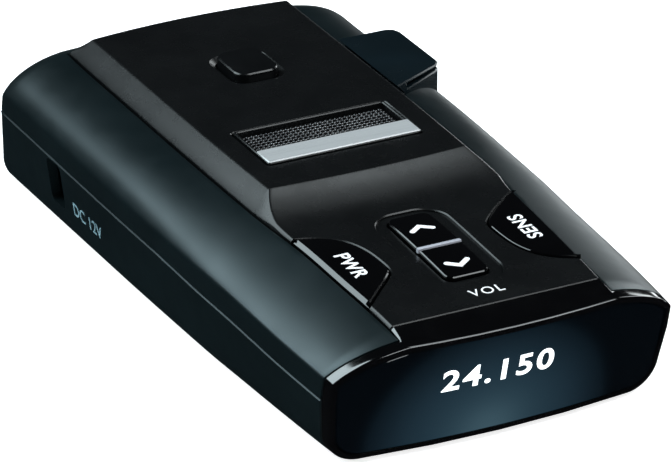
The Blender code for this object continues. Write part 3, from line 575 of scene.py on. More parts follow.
def caseHollow():
    wall = caseLines["wall"]
    rings = rearRings(wall, rearEnd["innerTurns"]) + [caseRing(y, wall) for y in shellStations[1::3]]
    rings.append([(x, -82.0, z) for x, y, z in rings[-1]])
    return carve(loftThrough(rings), betweenEnds(-24, wall), "INTERSECT")


def lengthwise(outlineYZ, low, high):
    # prism along X over an outline in y and z
    return loftThrough([[(x, y, z) for y, z in outlineYZ] for x in (low, high)])


def caseHalfSpace(far, clearance):
    edge = [(y, splitHeight(y) + clearance) for y in (95, 0, -95)]
    return lengthwise([(-95, far), (95, far)] + edge, -60, 60)


def coverOutline(grown, rear, front):
    stations = [rear] + [y for y in shellStations if front < y < rear] + [front]
    right = [(seamX(y) + grown, y) for y in stations]
    return turnedLeft(right + [(-x, y) for x, y in reversed(right)])


jackPlace = {"y": 43.1, "z": 10.0, "halfY": 3.0, "halfZ": 4.4, "corner": 1.2}
laserPlace = {"x": -17.5, "z": 12.6, "halfX": 8.5, "halfZ": 4.5, "corner": 1.4, "setIn": 0.1,
              "thick": 1.6, "softEdge": (0.25, 3)}
screwPlaces = ((-27.5, 54.0), (27.5, 54.0), (-25.8, -47.0), (25.8, -47.0))
# edges are a width and a number of steps
shellDetail = {"lowerEdge": (0.22, 1), "upperEdge": (0.13, 2), "sinkRadius": 2.6, "sinkDepth": 1.1}


def jackCutter():
    d = jackPlace
    return lengthwise(roundedBox(d["halfY"], d["halfZ"], d["corner"], (d["y"], d["z"])), -45, -30)


def laserOutline(grown=0.0):
    d = laserPlace
    return roundedBox(d["halfX"] + grown, d["halfZ"] + grown, d["corner"] + grown, (d["x"], d["z"]))


def roundBar(radius, start, end, sides=32):
    shape = bmesh.new()
    axis = Vector(end) - Vector(start)
    bmesh.ops.create_cone(shape, cap_ends=True, segments=sides, radius1=radius, radius2=radius,
                          depth=axis.length)
    turn = Vector((0, 0, 1)).rotation_difference(axis).to_matrix().to_4x4()
    place = Matrix.Translation((Vector(start) + Vector(end)) / 2)
    bmesh.ops.transform(shape, matrix=place @ turn, verts=shape.verts)
    return shape


def onJoint(spot):
    # on the edge that faces the front bezel
    return abs(spot.y - frontFace(spot.x, spot.z) - caseLines["bezelBand"]) < 0.12


def makeShells():
    d, gap = shellDetail, caseLines["gap"]
    solid = carve(caseSolid(), betweenEnds(caseLines["bezelBand"], 0), "INTERSECT")
    solid = carve(solid, caseHollow())
    solid = carve(solid, jackCutter())
    solid = carve(solid, loftThrough([[(x, y, z) for x, z in laserOutline(gap)] for y in (60, 76)]))
    lower = carve(solid.copy(), caseHalfSpace(-12, -gap / 2), "INTERSECT")
    upper = carve(solid, caseHalfSpace(60, gap / 2), "INTERSECT")
    opening = upright(coverOutline(gap / 2, caseLines["coverRear"] + gap / 2, -90), 19, 40)
    upper = carve(upper, opening)
    for x, y in screwPlaces:
        low = lineAt(y)["lowZ"]
        lower = carve(lower, roundBar(d["sinkRadius"], (x, y, low - 3), (x, y, low + d["sinkDepth"])))

    def lowerEdge(spot):
        top = abs(spot.z - splitHeight(spot.y) + gap / 2) < 0.05
        return (top and (abs(spot.x) > 20 or spot.y > 66)) or onJoint(spot) or spot.z < 1.6

    def upperEdge(spot):
        low = abs(spot.z - splitHeight(spot.y) - gap / 2) < 0.05
        seam = spot.z > 22 and abs(abs(spot.x) - seamX(spot.y) - gap / 2) < 0.06
        rear = spot.z > 22 and abs(spot.y - caseLines["coverRear"] - gap / 2) < 0.06
        return low or seam or rear or onJoint(spot)

    softenEdges(lower, *d["lowerEdge"], lowerEdge)
    softenEdges(upper, *d["upperEdge"], upperEdge)
    finishPiece("lowerShell", lower, finishes["shell"], replaces=["lower_shell"])
    finishPiece("upperShell", upper, finishes["shell"], replaces=["upper_shell"])


makeShells()
print("shells made")


def softLower(a, b, softness):
    # the lower of two heights, with a rounded meeting
    part = max(softness - abs(a - b), 0.0) / softness
    return min(a, b) - part * part * softness * 0.25


def topHeight(y):
    lines = caseLines
    deck = deckHeight(y)
    share = min(1.0, max(0.0, (lines["frontCrest"] - y) / lines["scoopLength"]))
    ahead = deck + (lines["plateauTop"] - deck) * (1 - share) ** 2
    if y < 0:
        if share > 0:
            return ahead
        rise = lines["plateauTop"] + (y - lines["frontCrest"]) * lines["frontRise"]
        return softLower(lines["plateauTop"], rise, lines["frontSoftness"])
    slope = (lines["plateauTop"] - deck) / lines["rearSlope"]
    behind = lines["plateauTop"] - (y - lines["rearCrest"]) * slope
    return softLower(lines["plateauTop"], behind, lines["rearSoftness"])


def crestBow(y):
    # both crests of the raised centre bow in plan
    lines = caseLines
    if y > 20:
        past = ease((y - lines["rearCrest"]) / lines["rearSlope"])
        return -lines["rearCrestBow"] * (1 - past) * ease((y - 40) / 14)
    ahead = ease((y - (lines["frontCrest"] - lines["scoopLength"])) / lines["scoopLength"])
    return lines["frontCrestBow"] * ahead * (1 - ease((y - lines["frontCrest"]) / 14))


coverDetail = {"edgeSoftness": 0.35, "deckChamfer": 0.45, "thick": 1.8, "foot": 1.7, "rimEdge": (0.2, 1),
               "soundHole": (13.6, 5.9, 0.6)}


def coverHalf(y):
    # right half of the cover's section, from the top middle round to the middle below
    line = lineAt(y)
    top = topHeight(y)
    fall = (caseLines["plateauTop"] - top) / (caseLines["plateauTop"] - line["deckZ"])
    seam = line["seamX"] - caseLines["gap"] / 2
    chamfer = coverDetail["deckChamfer"]
    edge = min(seam - chamfer, line["plateauX"] + (line["seamX"] - line["plateauX"]) * fall)
    low = top - (seam - edge)
    soft = min(coverDetail["edgeSoftness"], 0.45 * (seam - edge))
    points = [(edge * share, top) for share in (0.0, 0.3, 0.6, 0.85)] + [(edge - soft * 2.2, top)]
    start, corner, end = (Vector((edge - soft, top)), Vector((edge, top)),
                          Vector((edge + soft * 0.7, top - soft * 0.7)))
    points += [tuple(roundSpot(start, corner, end, t)) for t in (0.0, 0.25, 0.5, 0.75, 1.0)]
    foot, under = low - coverDetail["foot"], top - coverDetail["thick"]
    return points + [(blend(edge, seam, 0.5), blend(top, low, 0.5)), (seam - 0.16, low + 0.16),
                     (seam, low - 0.06), (seam, foot), (seam - 1.4, foot),
                     (edge - 1.0, under), (edge * 0.5, under), (0.0, under)]


def coverRing(y):
    ring = []
    deck = deckHeight(y)
    for x, z in wholeRound(coverHalf(y)):
        weight = min(1.0, max(0.0, (z - deck) / (topHeight(y) - deck + 0.4)))
        ring.append((x, y + crestBow(y) * weight * (x / 20) ** 2, z))
    return ring


grillePlace = {"y": 2.6, "halfX": 15.0, "halfY": 7.3, "rim": 0.6, "proud": 0.3, "pocket": 1.2,
               "plateFrom": 0.5, "plateProud": 0.4}
mutePlace = {"y": 34.5, "half": (4.3, 5.4), "corner": 2.3, "proud": 1.2, "recess": (5.6, 6.7),
             "recessCorner": 3.2, "depth": 0.7, "foot": 27.0, "edge": (0.22, 1)}
# curve is the inner side of a key, from its rear end round to its front end
keyPlace = {"middleY": -39.6, "reach": 13.1, "edge": 0.15, "proud": 0.2, "foot": 22.3, "gap": 0.3,
            "outerChamfer": 0.62, "powerEdge": (0.36, 2), "sensitivityEdge": (0.3, 3),
            "curve": ((-17.2, 11.6), (-14.6, 9.6), (-12.9, 7.0), (-11.9, 3.8), (-11.5, 0.0),
                      (-11.4, -3.6), (-12.4, -5.3), (-15.8, -8.6))}
# proud is the rocker's height over the deck at its middle and at its ends
rockerPlace = {"y": -39.4, "half": (4.45, 12.0), "frontShort": 0.5, "corner": 1.5, "barrel": 0.13,
               "proud": (0.4, 0.2), "foot": 22.3, "edge": (0.16, 1), "groove": 0.75, "grooveDepth": 0.8,
               "barHalf": (4.2, 0.4), "barProud": 0.14, "barEdge": (0.12, 2),
               "moreGap": 0.05, "recess": (6.8, 14.0), "recessCorner": 5.0, "depth": 0.45}


def keyOutline(side, grown=0.0):
    # the side facing the seam follows it, the inner side swings round the rocker
    place = keyPlace
    rear, front = place["middleY"] + place["reach"], place["middleY"] - place["reach"]
    tips = [(side * (seamX(y) - place["edge"]), y) for y in (rear, front)]
    curve = [(-side * x, place["middleY"] - side * y) for x, y in place["curve"]]
    if side > 0:
        curve.reverse()
    inner = smoothedCurve([tips[0]] + curve + [tips[1]], 3)
    outer = [(side * (seamX(y) - place["edge"]), y) for y in spaced(front, rear, 12)[1:-1]]
    outline = turnedLeft(inner + outer)
    return growOutline(outline, grown) if grown else outline


def keyHole(side):
    # open towards the shell, whose edge closes it
    outline = []
    for x, y in keyOutline(side, keyPlace["gap"]):
        outline.append((side * (seamX(y) + 3) if side * x > seamX(y) - 0.3 else x, y))
    return outline


def rockerOutline(grown=0.0):
    place = rockerPlace
    halfX, halfY = place["half"]
    short = place["frontShort"]
    outline = roundedBox(halfX, halfY - short, place["corner"], (0.0, place["y"] + short), 8)
    outline = [(x * (1 - place["barrel"] * ((y - place["y"]) / halfY) ** 2), y) for x, y in outline]
    return growOutline(outline, grown) if grown else outline


def makeCover():
    lines = caseLines
    gap = lines["gap"]
    rear, front = lines["coverRear"] - gap / 2, lines["lipY"] + gap / 2
    crest = lines["rearCrest"]
    # rows lie close together over the two crests and down the scoop
    stations = [rear, rear - 0.4]
    stations += [crest + past for past in (1.1, 0.7, 0.4, 0.25, 0.12, 0.0, -0.12, -0.25, -0.45, -1.0)]
    stations += [56, 52, 48, 44, 40, 34, 28, 20, 12, 6, 0, -5, -9, -12, -13.2, -13.6, -13.85, -13.95,
                 -14.2, -14.7, -15.4, -16.2, -17.1]
    stations += list(range(-18, -28, -1)) + [-29, -32, -36, -40, -45, -50, -55, -58, front + 0.12, front]
    shape = loftThrough([coverRing(y) for y in stations])
    top = lines["plateauTop"]
    place = grillePlace
    pocket = roundedBox(place["halfX"] + gap, place["halfY"] + gap, 0.7, (0.0, place["y"]), 3)
    shape = carve(shape, upright(pocket, top - place["pocket"], 40))
    shape = carve(shape, upright(roundedBox(*coverDetail["soundHole"], (0.0, place["y"]), 3), 20, 40))
    # the mute button's recess has sloping walls
    place = mutePlace
    recess = roundedBox(*place["recess"], place["recessCorner"], (0.0, place["y"]), 8)
    slope = [[(x, y, height) for x, y in growOutline(recess, wider)] for wider, height in
             ((-1.0, top - place["depth"]), (0.0, top), (0.3, top + 0.25))]
    shape = carve(shape, loftThrough(slope))
    halfX, halfY = place["half"]
    hole = roundedBox(halfX + gap, halfY + gap, place["corner"] + gap, (0.0, place["y"]), 8)
    shape = carve(shape, upright(hole, 20, 40))
    for side in (-1, 1):
        shape = carve(shape, upright(keyHole(side), 15, 40))
    place = rockerPlace
    dish = roundedBox(*place["recess"], place["recessCorner"], (0.0, place["y"]), 10)
    shape = carve(shape, upright(dish, lambda x, y: deckHeight(y) - place["depth"], 40))
    shape = carve(shape, upright(rockerOutline(gap + place["moreGap"]), 15, 40))

    def upperRim(spot):
        onTop = abs(spot.z - topHeight(spot.y)) < 0.05
        inside = abs(spot.x) < lineAt(spot.y)["plateauX"] - 1.0 or spot.y < -20
        ends = spot.y > rear - 0.1 or spot.y < front + 0.05
        return (onTop and inside) or (ends and spot.z > deckHeight(spot.y) - 0.6)

    softenEdges(shape, *coverDetail["rimEdge"], upperRim, 50)
    finishPiece("centreCover", shape, finishes["cover"], replaces=["centre_cover"])


makeCover()
print("centre cover made")

# gloss bezel round the window; the tongue is its part that reaches back to the key deck
bezelDetail = {"joint": 2.6, "edgeRound": 0.5, "rim": 1.2, "recess": 1.7, "ledge": 3.05, "collar": 1.9,
               "collarDepth": 6.5, "lipGap": 0.15, "tongueSide": 0.15, "tongueUnder": 0.02,
               "tongueChamfer": 0.42, "tongueInner": (0.72, 1.8),
               "windowInset": 1.35, "windowThick": 1.4, "windowSetIn": 0.02, "windowEdge": (0.22, 3)}
sectionCache = {}


def sectionAt(y, inset):
    key = (round(y, 2), round(inset, 3))
    if key not in sectionCache:
        outline = wholeRound(caseHalf(key[0]))[::-1]
        grown = growOutline(outline, -inset) if inset else outline
        sectionCache[key] = grown[::-1]
    return sectionCache[key]


def faceRing(depth, inset, tongueY=None, tongueIn=0.0, tongueDown=0.0):
    # ring parallel to the front face; between the seams it may reach back to the tongue's end
    d, seamIndex = bezelDetail, 4
    count = len(wholeRound(caseHalf(caseLines["frontY"])))
    if tongueY is not None:
        line = lineAt(tongueY)
        tongueZ = line["deckZ"] - d["tongueUnder"] - tongueDown
    ring = []
    for i in range(count):
        y = frontFace(0, 12) + depth
        for _ in range(5):
            x, z = sectionAt(y, inset)[i]
            y = frontFace(x, z) + depth
        ring.append((x, y, z))
        mirrored = i == count - seamIndex
        if i == seamIndex or mirrored:
            double = (x, y, z)
            if tongueY is not None:
                half = line["seamX"] - d["tongueSide"] - tongueIn
                double = (-half if mirrored else half, tongueY, tongueZ)
            ring.insert(len(ring) - (0 if mirrored else 1), double)
    if tongueY is not None:
        for i in list(range(seamIndex)) + list(range(count + 3 - seamIndex, count + 2)):
            ring[i] = (ring[i][0], tongueY, tongueZ)
    return ring


def makeBezel():
    d = bezelDetail
    lip = caseLines["lipY"] - d["lipGap"]
    # from the joint with the shells forwards, round the front edge, then back inside the window
    rings = [faceRing(d["joint"], 0.12, lip, 0.0, d["tongueChamfer"]),
             faceRing(d["joint"] - 0.12, 0.0, lip - 0.12, d["tongueChamfer"])]
    rings += [faceRing(1.7, 0.0), faceRing(1.0, 0.0)]
    for i in range(7):
        turn = math.radians(90 * i / 6)
        rings.append(faceRing(d["edgeRound"] - d["edgeRound"] * math.sin(turn),
                              d["edgeRound"] - d["edgeRound"] * math.cos(turn)))
    for depth, inset in ((0.0, 0.75), (0.0, 1.0), (0.03, 1.1), (0.1, 1.17), (0.22, d["rim"]),
                         (d["recess"], d["rim"]), (d["recess"], d["ledge"]),
                         (d["collarDepth"], d["ledge"]), (d["collarDepth"], d["collar"])):
        rings.append(faceRing(depth, inset))
    rings.append(faceRing(d["joint"], d["collar"], lip, *d["tongueInner"]))
    shape = loftThrough(rings, closedRound=True)
    finishPiece("frontBezel", shape, finishes["lacquer"], replaces=["front_bezel"])


def makeWindow():
    d = bezelDetail
    shape = flatSheet([(x, 0, z) for x, y, z in faceRing(0.0, d["windowInset"])])
    bmesh.ops.remove_doubles(shape, verts=shape.verts, dist=0.01)
    cutAcross(shape, spaced(-30.5, 30.5, 62), (1, 0, 0))
    for corner in shape.verts:
        corner.co.y = frontFace(corner.co.x, corner.co.z) + d["windowSetIn"]
    bmesh.ops.translate(shape, vec=(0, d["windowThick"], 0), verts=pushOut(shape))
    bmesh.ops.recalc_face_normals(shape, faces=shape.faces)
    softenEdges(shape, *d["windowEdge"], lambda spot: spot.y < frontFace(spot.x, spot.z) + 0.1, 50)
    finishPiece("displayWindow", shape, finishes["window"], sharp=20, replaces=["display_window"])


makeBezel()
makeWindow()
print("bezel and window made")


def softPrism(outline, low, high, edge=None, rows=()):
    # upright piece with a rounded upper edge; rows cuts the top so that it can follow a curve
    shape = flatSheet([(x, y, 0) for x, y in turnedLeft(outline)])
    cutAcross(shape, rows, (0, 1, 0))
    topCorners = pushOut(shape)
    for corner in shape.verts:
        corner.co.z = low
    for corner in topCorners:
        corner.co.z = high(corner.co.x, corner.co.y) if callable(high) else high
    bmesh.ops.recalc_face_normals(shape, faces=shape.faces)
    limit = blend(low, min(corner.co.z for corner in topCorners), 0.7)
    if edge:
        softenEdges(shape, *edge, lambda spot: spot.z > limit, 50)
    return shape


inkDetail = {"lift": 0.02, "thick": 0.05}  # printed marks are thin solid patches


def letterShape(words, height, middle, turn, onto, bolder=0.0, spacing=1.0, stretch=1.0,
                lift=inkDetail["lift"]):
    # plain sans letters laid on a surface; onto gives the surface's point for a flat x and y
    curve = bpy.data.curves.new("letters", "FONT")
    curve.body = words
    curve.size, curve.resolution_u = 1.0, 6
    curve.align_x, curve.align_y = "CENTER", "CENTER"
    curve.offset, curve.space_character = bolder, spacing
    carrier = bpy.data.objects.new("letters", curve)
    bpy.context.scene.collection.objects.link(carrier)
    graph = bpy.context.evaluated_depsgraph_get()
    mesh = bpy.data.meshes.new_from_object(carrier.evaluated_get(graph))
    shape = bmesh.new()
    shape.from_mesh(mesh)
    bpy.data.objects.remove(carrier)
    bpy.data.curves.remove(curve)
    bpy.data.meshes.remove(mesh)
    xs = [v.co.x for v in shape.verts]
    ys = [v.co.y for v in shape.verts]
    centre = ((min(xs) + max(xs)) / 2, (min(ys) + max(ys)) / 2)
    scale = height / (max(ys) - min(ys))
    bmesh.ops.remove_doubles(shape, verts=shape.verts, dist=0.0004)
    bmesh.ops.triangulate(shape, faces=shape.faces[:])
    longEdges = [edge for edge in shape.edges if edge.calc_length() * scale > 0.7]
    bmesh.ops.subdivide_edges(shape, edges=longEdges, cuts=1)
    for corner in shape.verts:
        flat = Vector(((corner.co.x - centre[0]) * scale * stretch,
                       (corner.co.y - centre[1]) * scale, 0))
        flat.rotate(Matrix.Rotation(math.radians(turn), 3, "Z"))
        corner.co = onto(middle[0] + flat.x, middle[1] + flat.y, lift)
    return thicken(shape)


def thicken(shape):
    # closes a thin sheet, away from the side that it faces
    shape.normal_update()
    moved = pushOut(shape)
    facing = sum((face.normal * face.calc_area() for face in shape.faces), Vector())
    if facing.length > 0:
        bmesh.ops.translate(shape, vec=-facing.normalized() * inkDetail["thick"], verts=moved)
    bmesh.ops.recalc_face_normals(shape, faces=shape.faces)
    return shape


def ribbon(points, width):
    # flat stroke with round ends along a plan polyline
    half = width / 2
    left, right = [], []
    count = len(points)
    for i in range(count):
        here = Vector(points[i])
        ahead = (Vector(points[min(i + 1, count - 1)]) - Vector(points[max(i - 1, 0)])).normalized()
        if 0 < i < count - 1:
            before = (here - Vector(points[i - 1])).normalized()
            after = (Vector(points[i + 1]) - here).normalized()
            reach = half / max(0.4, math.sqrt(max(0.0, (1 + before.dot(after)) / 2)))
        else:
            reach = half
        side = Vector((-ahead.y, ahead.x)) * reach
        left.append(here + side)
        right.append(here - side)

    def cap(middle, start):
        arm = Vector(start) - Vector(middle)
        turned = []
        for step in range(1, 6):
            swing = arm.copy()
            swing.rotate(Matrix.Rotation(-math.pi * step / 6, 2))
            turned.append(Vector(middle) + swing)
        return turned

    outline = left + cap(points[-1], left[-1]) + right[::-1] + cap(points[0], right[0])
    return [(p.x, p.y) for p in outline]


def inkPatch(outline, onto):
    # a printed mark over a plan outline
    shape = flatSheet([(x, y, 0) for x, y in turnedLeft(outline)])
    bmesh.ops.triangulate(shape, faces=shape.faces[:])
    longEdges = [edge for edge in shape.edges if edge.calc_length() > 0.8]
    bmesh.ops.subdivide_edges(shape, edges=longEdges, cuts=1)
    for corner in shape.verts:
        corner.co = onto(corner.co.x, corner.co.y, inkDetail["lift"])
    return thicken(shape)


def merged(shapes):
    # several shapes as one; they are used up
    whole = bmesh.new()
    for shape in shapes:
        mesh = bpy.data.meshes.new("part")
        shape.to_mesh(mesh)
        whole.from_mesh(mesh)
        shape.free()
        bpy.data.meshes.remove(mesh)
    return whole


def onDeck(x, y, lift):
    return (x, y, deckHeight(y) + lift)


def keyTop(x, y):
    return deckHeight(y) + keyPlace["proud"]


def onKey(x, y, lift):
    return (x, y, keyTop(x, y) + lift)


def rockerTop(x, y):
    place = rockerPlace
    share = min(1.0, abs(y - place["y"]) / place["half"][1])
    middle, ends = place["proud"]
    return deckHeight(y) + middle + (ends - middle) * share * share


def onRocker(x, y, lift):
    return (x, y, rockerTop(x, y) + lift)


# places are the middle of each legend; arrowAway is how far each arrow lies from the rocker's middle
legendDetail = {"pwr": (-16.66, -39.5), "sens": (16.65, -39.5), "size": 2.8, "bolder": 0.022,
                "spacing": 1.08, "vol": (0.16, -56.05), "volSize": 2.1, "volSpacing": 1.2,
                "arrowHalf": 1.95, "arrowRise": 1.4, "arrowWidth": 1.0, "arrowAway": (6.6, 7.1)}


def makeKeys():
    d, place = legendDetail, keyPlace
    for name, side, body, node, edge, words, spot, turn in (
            ("powerKey", -1, "power_key", "power_button", place["powerEdge"], "PWR", d["pwr"], -90),
            ("sensitivityKey", 1, "sensitivity_key", "sensitivity_button", place["sensitivityEdge"],
             "SENS", d["sens"], 90)):
        rows = spaced(place["middleY"] - 12, place["middleY"] + 12, 13)
        shape = softPrism(keyOutline(side), place["foot"], keyTop, rows=rows)
        # the chamfer beside the shell first, then the round edge on the deck
        softenEdges(shape, place["outerChamfer"], 1,
                    lambda spot: spot.z > 24 and abs(spot.x) > seamX(spot.y) - 0.25, 50)
        softenEdges(shape, *edge, lambda spot: spot.z > 24 and abs(spot.x) < seamX(spot.y) - 0.9, 50)
        finishPiece(name, shape, finishes["gloss"], body, 20, [node])
        letters = letterShape(words, d["size"], spot, turn, onKey, d["bolder"], d["spacing"])
        finishPiece(name + "Legend", letters, finishes["ink"], body)
    letters = letterShape("VOL", d["volSize"], d["vol"], 0, onDeck, spacing=d["volSpacing"])
    finishPiece("volumeLegend", letters, finishes["ink"])


def makeRocker():
    d, place = legendDetail, rockerPlace
    y, top = place["y"], rockerTop(0, place["y"])
    rows = spaced(y - 12.6, y + 12.6, 19)
    shape = softPrism(rockerOutline(), place["foot"], rockerTop, place["edge"], rows)
    near, far = y - place["groove"], y + place["groove"]
    across = turnedLeft([(-9, near), (9, near), (9, far), (-9, far)])
    groove = upright(across, top - place["grooveDepth"], 40)
    finishPiece("volumeRocker", carve(shape, groove), finishes["gloss"], "volume_key", 20,
                ["volume_rocker"])
    barTop = top + place["barProud"]
    outline = roundedBox(*place["barHalf"], 0.12, (0, y), 2)
    bar = softPrism(outline, barTop - place["grooveDepth"], barTop, place["barEdge"])
    finishPiece("rockerBar", bar, finishes["chrome"], "volume_key", 30, ["rocker_bar"])
    marks = []
    for way, away in zip((1, -1), d["arrowAway"]):
        tip = (0.0, y + way * (away + d["arrowRise"] / 2))
        feet = [(side * d["arrowHalf"] * way, tip[1] - way * d["arrowRise"]) for side in (-1, 1)]
        marks.append(inkPatch(ribbon([feet[0], tip, feet[1]], d["arrowWidth"]), onRocker))
    finishPiece("rockerArrows", merged(marks), finishes["ink"], "volume_key")


def makeMute():
    place = mutePlace
    shape = softPrism(roundedBox(*place["half"], place["corner"], (0, place["y"]), 10), place["foot"],
                      caseLines["plateauTop"] + place["proud"], place["edge"])
    finishPiece("muteButton", shape, finishes["softGloss"], "mute_key", 20, ["mute_button"])


makeKeys()
makeRocker()
makeMute()
print("keys made")

# speaker grille with its trim plate; ring and hole are radii as shares of the pitch
grilleDetail = {"pitch": 0.95, "sheetTop": 28.95, "sheetThick": 0.4, "lipDrop": 0.3, "ring": 0.39,
                "hole": 0.335, "frameEdge": (0.16, 1), "plateEdge": (0.16, 1), "plateCorner": 0.3,
                "plateLow": 0.32, "plateHigh": 0.12}


def makeCell(stepX, stepY):
    # one square of the sheet with a raised lip round its eight-sided hole
    d = grilleDetail
    cell = bmesh.new()
    made = bmesh.ops.create_circle(cell, segments=8, radius=1.0)
    bmesh.ops.rotate(cell, verts=made["verts"], matrix=Matrix.Rotation(math.radians(22.5), 3, "Z"))
    for corner in cell.verts:  # pulled out to the square
        corner.co.x = math.copysign(0.5 if abs(corner.co.x) > 0.5 else 0.2, corner.co.x) * stepX
        corner.co.y = math.copysign(0.5 if abs(corner.co.y) > 0.5 else 0.2, corner.co.y) * stepY
        corner.co.z = -d["lipDrop"]
    border = cell.edges[:]
    for radius, height in ((d["ring"] + 0.04, -0.03), (d["ring"] - 0.03, 0.0), (d["hole"], -0.10),
                           (d["hole"] - 0.02, -d["sheetThick"])):
        grown = bmesh.ops.extrude_edge_only(cell, edges=border)
        corners = [item for item in grown["geom"] if isinstance(item, bmesh.types.BMVert)]
        border = [item for item in grown["geom"] if isinstance(item, bmesh.types.BMEdge)
                  and all(v in corners for v in item.verts)]
        for corner in corners:
            way = Vector((corner.co.x / stepX, corner.co.y / stepY)).normalized() * radius
            corner.co = (way.x * stepX, way.y * stepY, height)
    return cell


def makeFrame(low):
    d, place, top = grilleDetail, grillePlace, caseLines["plateauTop"]
    halfX, halfY, rim, middle = place["halfX"], place["halfY"], place["rim"], (0, place["y"])
    outer = roundedBox(halfX, halfY, 0.5, middle, 3)
    inner = roundedBox(halfX - rim, halfY - rim, 0.3, middle, 3)
    shape = carve(upright(outer, low, top + place["proud"]), upright(inner, 20, 40))
    softenEdges(shape, *d["frameEdge"], lambda spot: spot.z > top, 50)
    finishPiece("grilleFrame", shape, finishes["cover"], replaces=["grille_frame"])


def makeMesh(halfX):
    d, place, gap = grilleDetail, grillePlace, caseLines["gap"]
    rear = place["y"] + place["halfY"] - place["rim"] - gap
    front = place["plateFrom"] + gap
    countX, countY = int(2 * halfX / d["pitch"]), int((rear - front) / d["pitch"])
    stepX, stepY = 2 * halfX / countX, (rear - front) / countY
    shape = makeCell(stepX, stepY)
    corner = (-halfX + stepX / 2, front + stepY / 2, d["sheetTop"])
    bmesh.ops.translate(shape, vec=corner, verts=shape.verts)
    bmesh.ops.spin(shape, geom=shape.faces[:], dvec=(stepX, 0, 0), steps=countX - 1, use_duplicate=True)
    bmesh.ops.spin(shape, geom=shape.faces[:], dvec=(0, stepY, 0), steps=countY - 1, use_duplicate=True)
    bmesh.ops.remove_doubles(shape, verts=shape.verts, dist=0.01)
    bmesh.ops.recalc_face_normals(shape, faces=shape.faces)
    if max(shape.faces, key=lambda face: face.calc_center_median().z).normal.z < 0:
        bmesh.ops.reverse_faces(shape, faces=shape.faces)
    finishPiece("speakerMesh", shape, finishes["mesh"], sharp=60, replaces=["speaker_mesh"],
                sheet=True)


def makePlate(halfX, low):
    # a body inside the frame under a thin face that covers the frame's front bar
    d, place, top = grilleDetail, grillePlace, caseLines["plateauTop"]
    back, front = place["plateFrom"], place["y"] - place["halfY"] + 0.05
    deep = front + place["rim"] + caseLines["gap"]
    inside = turnedLeft([(-halfX, deep), (halfX, deep), (halfX, back), (-halfX, back)])
    body = upright(inside, low, top + place["plateProud"])
    outline = roundedBox(place["halfX"] - 0.05, (back - front) / 2, d["plateCorner"],
                         (0, (front + back) / 2), 3)
    face = softPrism(outline, top + d["plateLow"], top + place["plateProud"] + d["plateHigh"],
                     d["plateEdge"])
    finishPiece("trimPlate", carve(face, body, "UNION"), finishes["silver"], replaces=["trim_plate"])


def makeGrille():
    low = caseLines["plateauTop"] - grillePlace["pocket"] + caseLines["gap"]
    halfX = grillePlace["halfX"] - grillePlace["rim"] - caseLines["gap"]
    makeFrame(low)
    makeMesh(halfX)
    makePlate(halfX, low)


makeGrille()
print("grille made")

# bracket shoe beside the raised centre; edge is its outer side from front to rear
shoeDetail = {"leafTop": 27.7, "leafThick": 0.5, "slotHigh": 0.7, "slotRearY": 37.5, "slotSide": 0.85,
              "foot": 17.1, "chamferFrom": 26.15, "chamferIn": 1.5, "frontY": 18.1, "rearY": 41.8,
              "inside": 0.35, "softEdge": (0.2, 1),
              "edge": ((33.0, 23.4), (33.9, 24.6), (34.0, 26.0), (34.0, 39.6), (33.4, 41.1),
                       (32.0, 41.8))}


def makeShoe():
    d = shoeDetail
    innerX = seamX(d["rearY"]) + d["inside"]
    rings = []
    for lean, height in ((0.0, d["foot"]), (0.0, d["chamferFrom"]), (d["chamferIn"], d["leafTop"])):
        rings.append([(x, y, height) for x, y in turnedLeft(
            [(innerX - lean, d["frontY"])] + list(d["edge"]) + [(innerX - lean, d["rearY"])])])
    slotX, high = innerX + d["slotSide"], d["leafTop"] - d["leafThick"]
    slot = turnedLeft([(slotX, 10), (42, 10), (42, d["slotRearY"]), (slotX, d["slotRearY"])])
    shape = carve(loftThrough(rings), upright(slot, high - d["slotHigh"], high))
    softenEdges(shape, *d["softEdge"], lambda spot: spot.z > 24 and spot.x > innerX + 0.1, 60)
    finishPiece("bracketShoe", shape, finishes["shoe"])


makeShoe()
print("bracket shoe made")

# face is where the socket's body begins, behind the case wall
socketDetail = {"face": -31.6, "length": 11.0, "half": (4.6, 4.7, 0.8), "bore": 2.95, "boreDepth": 9.0,
                "mouthEdge": (0.3, 3), "springWall": 0.3, "spring": (0.9, 2.4),
                "pinRadius": 0.65, "pin": (0.6, 9.1), "pinEdge": (0.3, 4)}


def makeSocket():
    d, y, z = socketDetail, jackPlace["y"], jackPlace["z"]
    face, bore = d["face"], d["bore"]

    def bar(radius, near, far, sides=40):
        return roundBar(radius, (face + near, y, z), (face + far, y, z), sides)

    shape = lengthwise(roundedBox(*d["half"], (y, z), 4), face, face + d["length"])
    shape = carve(shape, bar(bore, -1, d["boreDepth"]))
    softenEdges(shape, *d["mouthEdge"],
                lambda spot: spot.x < face + 0.05 and math.hypot(spot.y - y, spot.z - z) < bore + 0.15)
    finishPiece("socketBody", shape, finishes["plastic"], replaces=["dc_jack"])
    ring = carve(bar(bore - 0.02, *d["spring"]), bar(bore - 0.02 - d["springWall"], 0, 4))
    finishPiece("socketSpring", ring, finishes["tin"])
    near, far = d["pin"]
    pin = bar(d["pinRadius"], far, near, 24)
    softenEdges(pin, *d["pinEdge"], lambda spot: spot.x < face + 1)
    finishPiece("socketPin", pin, finishes["brass"], replaces=["jack_pin"])


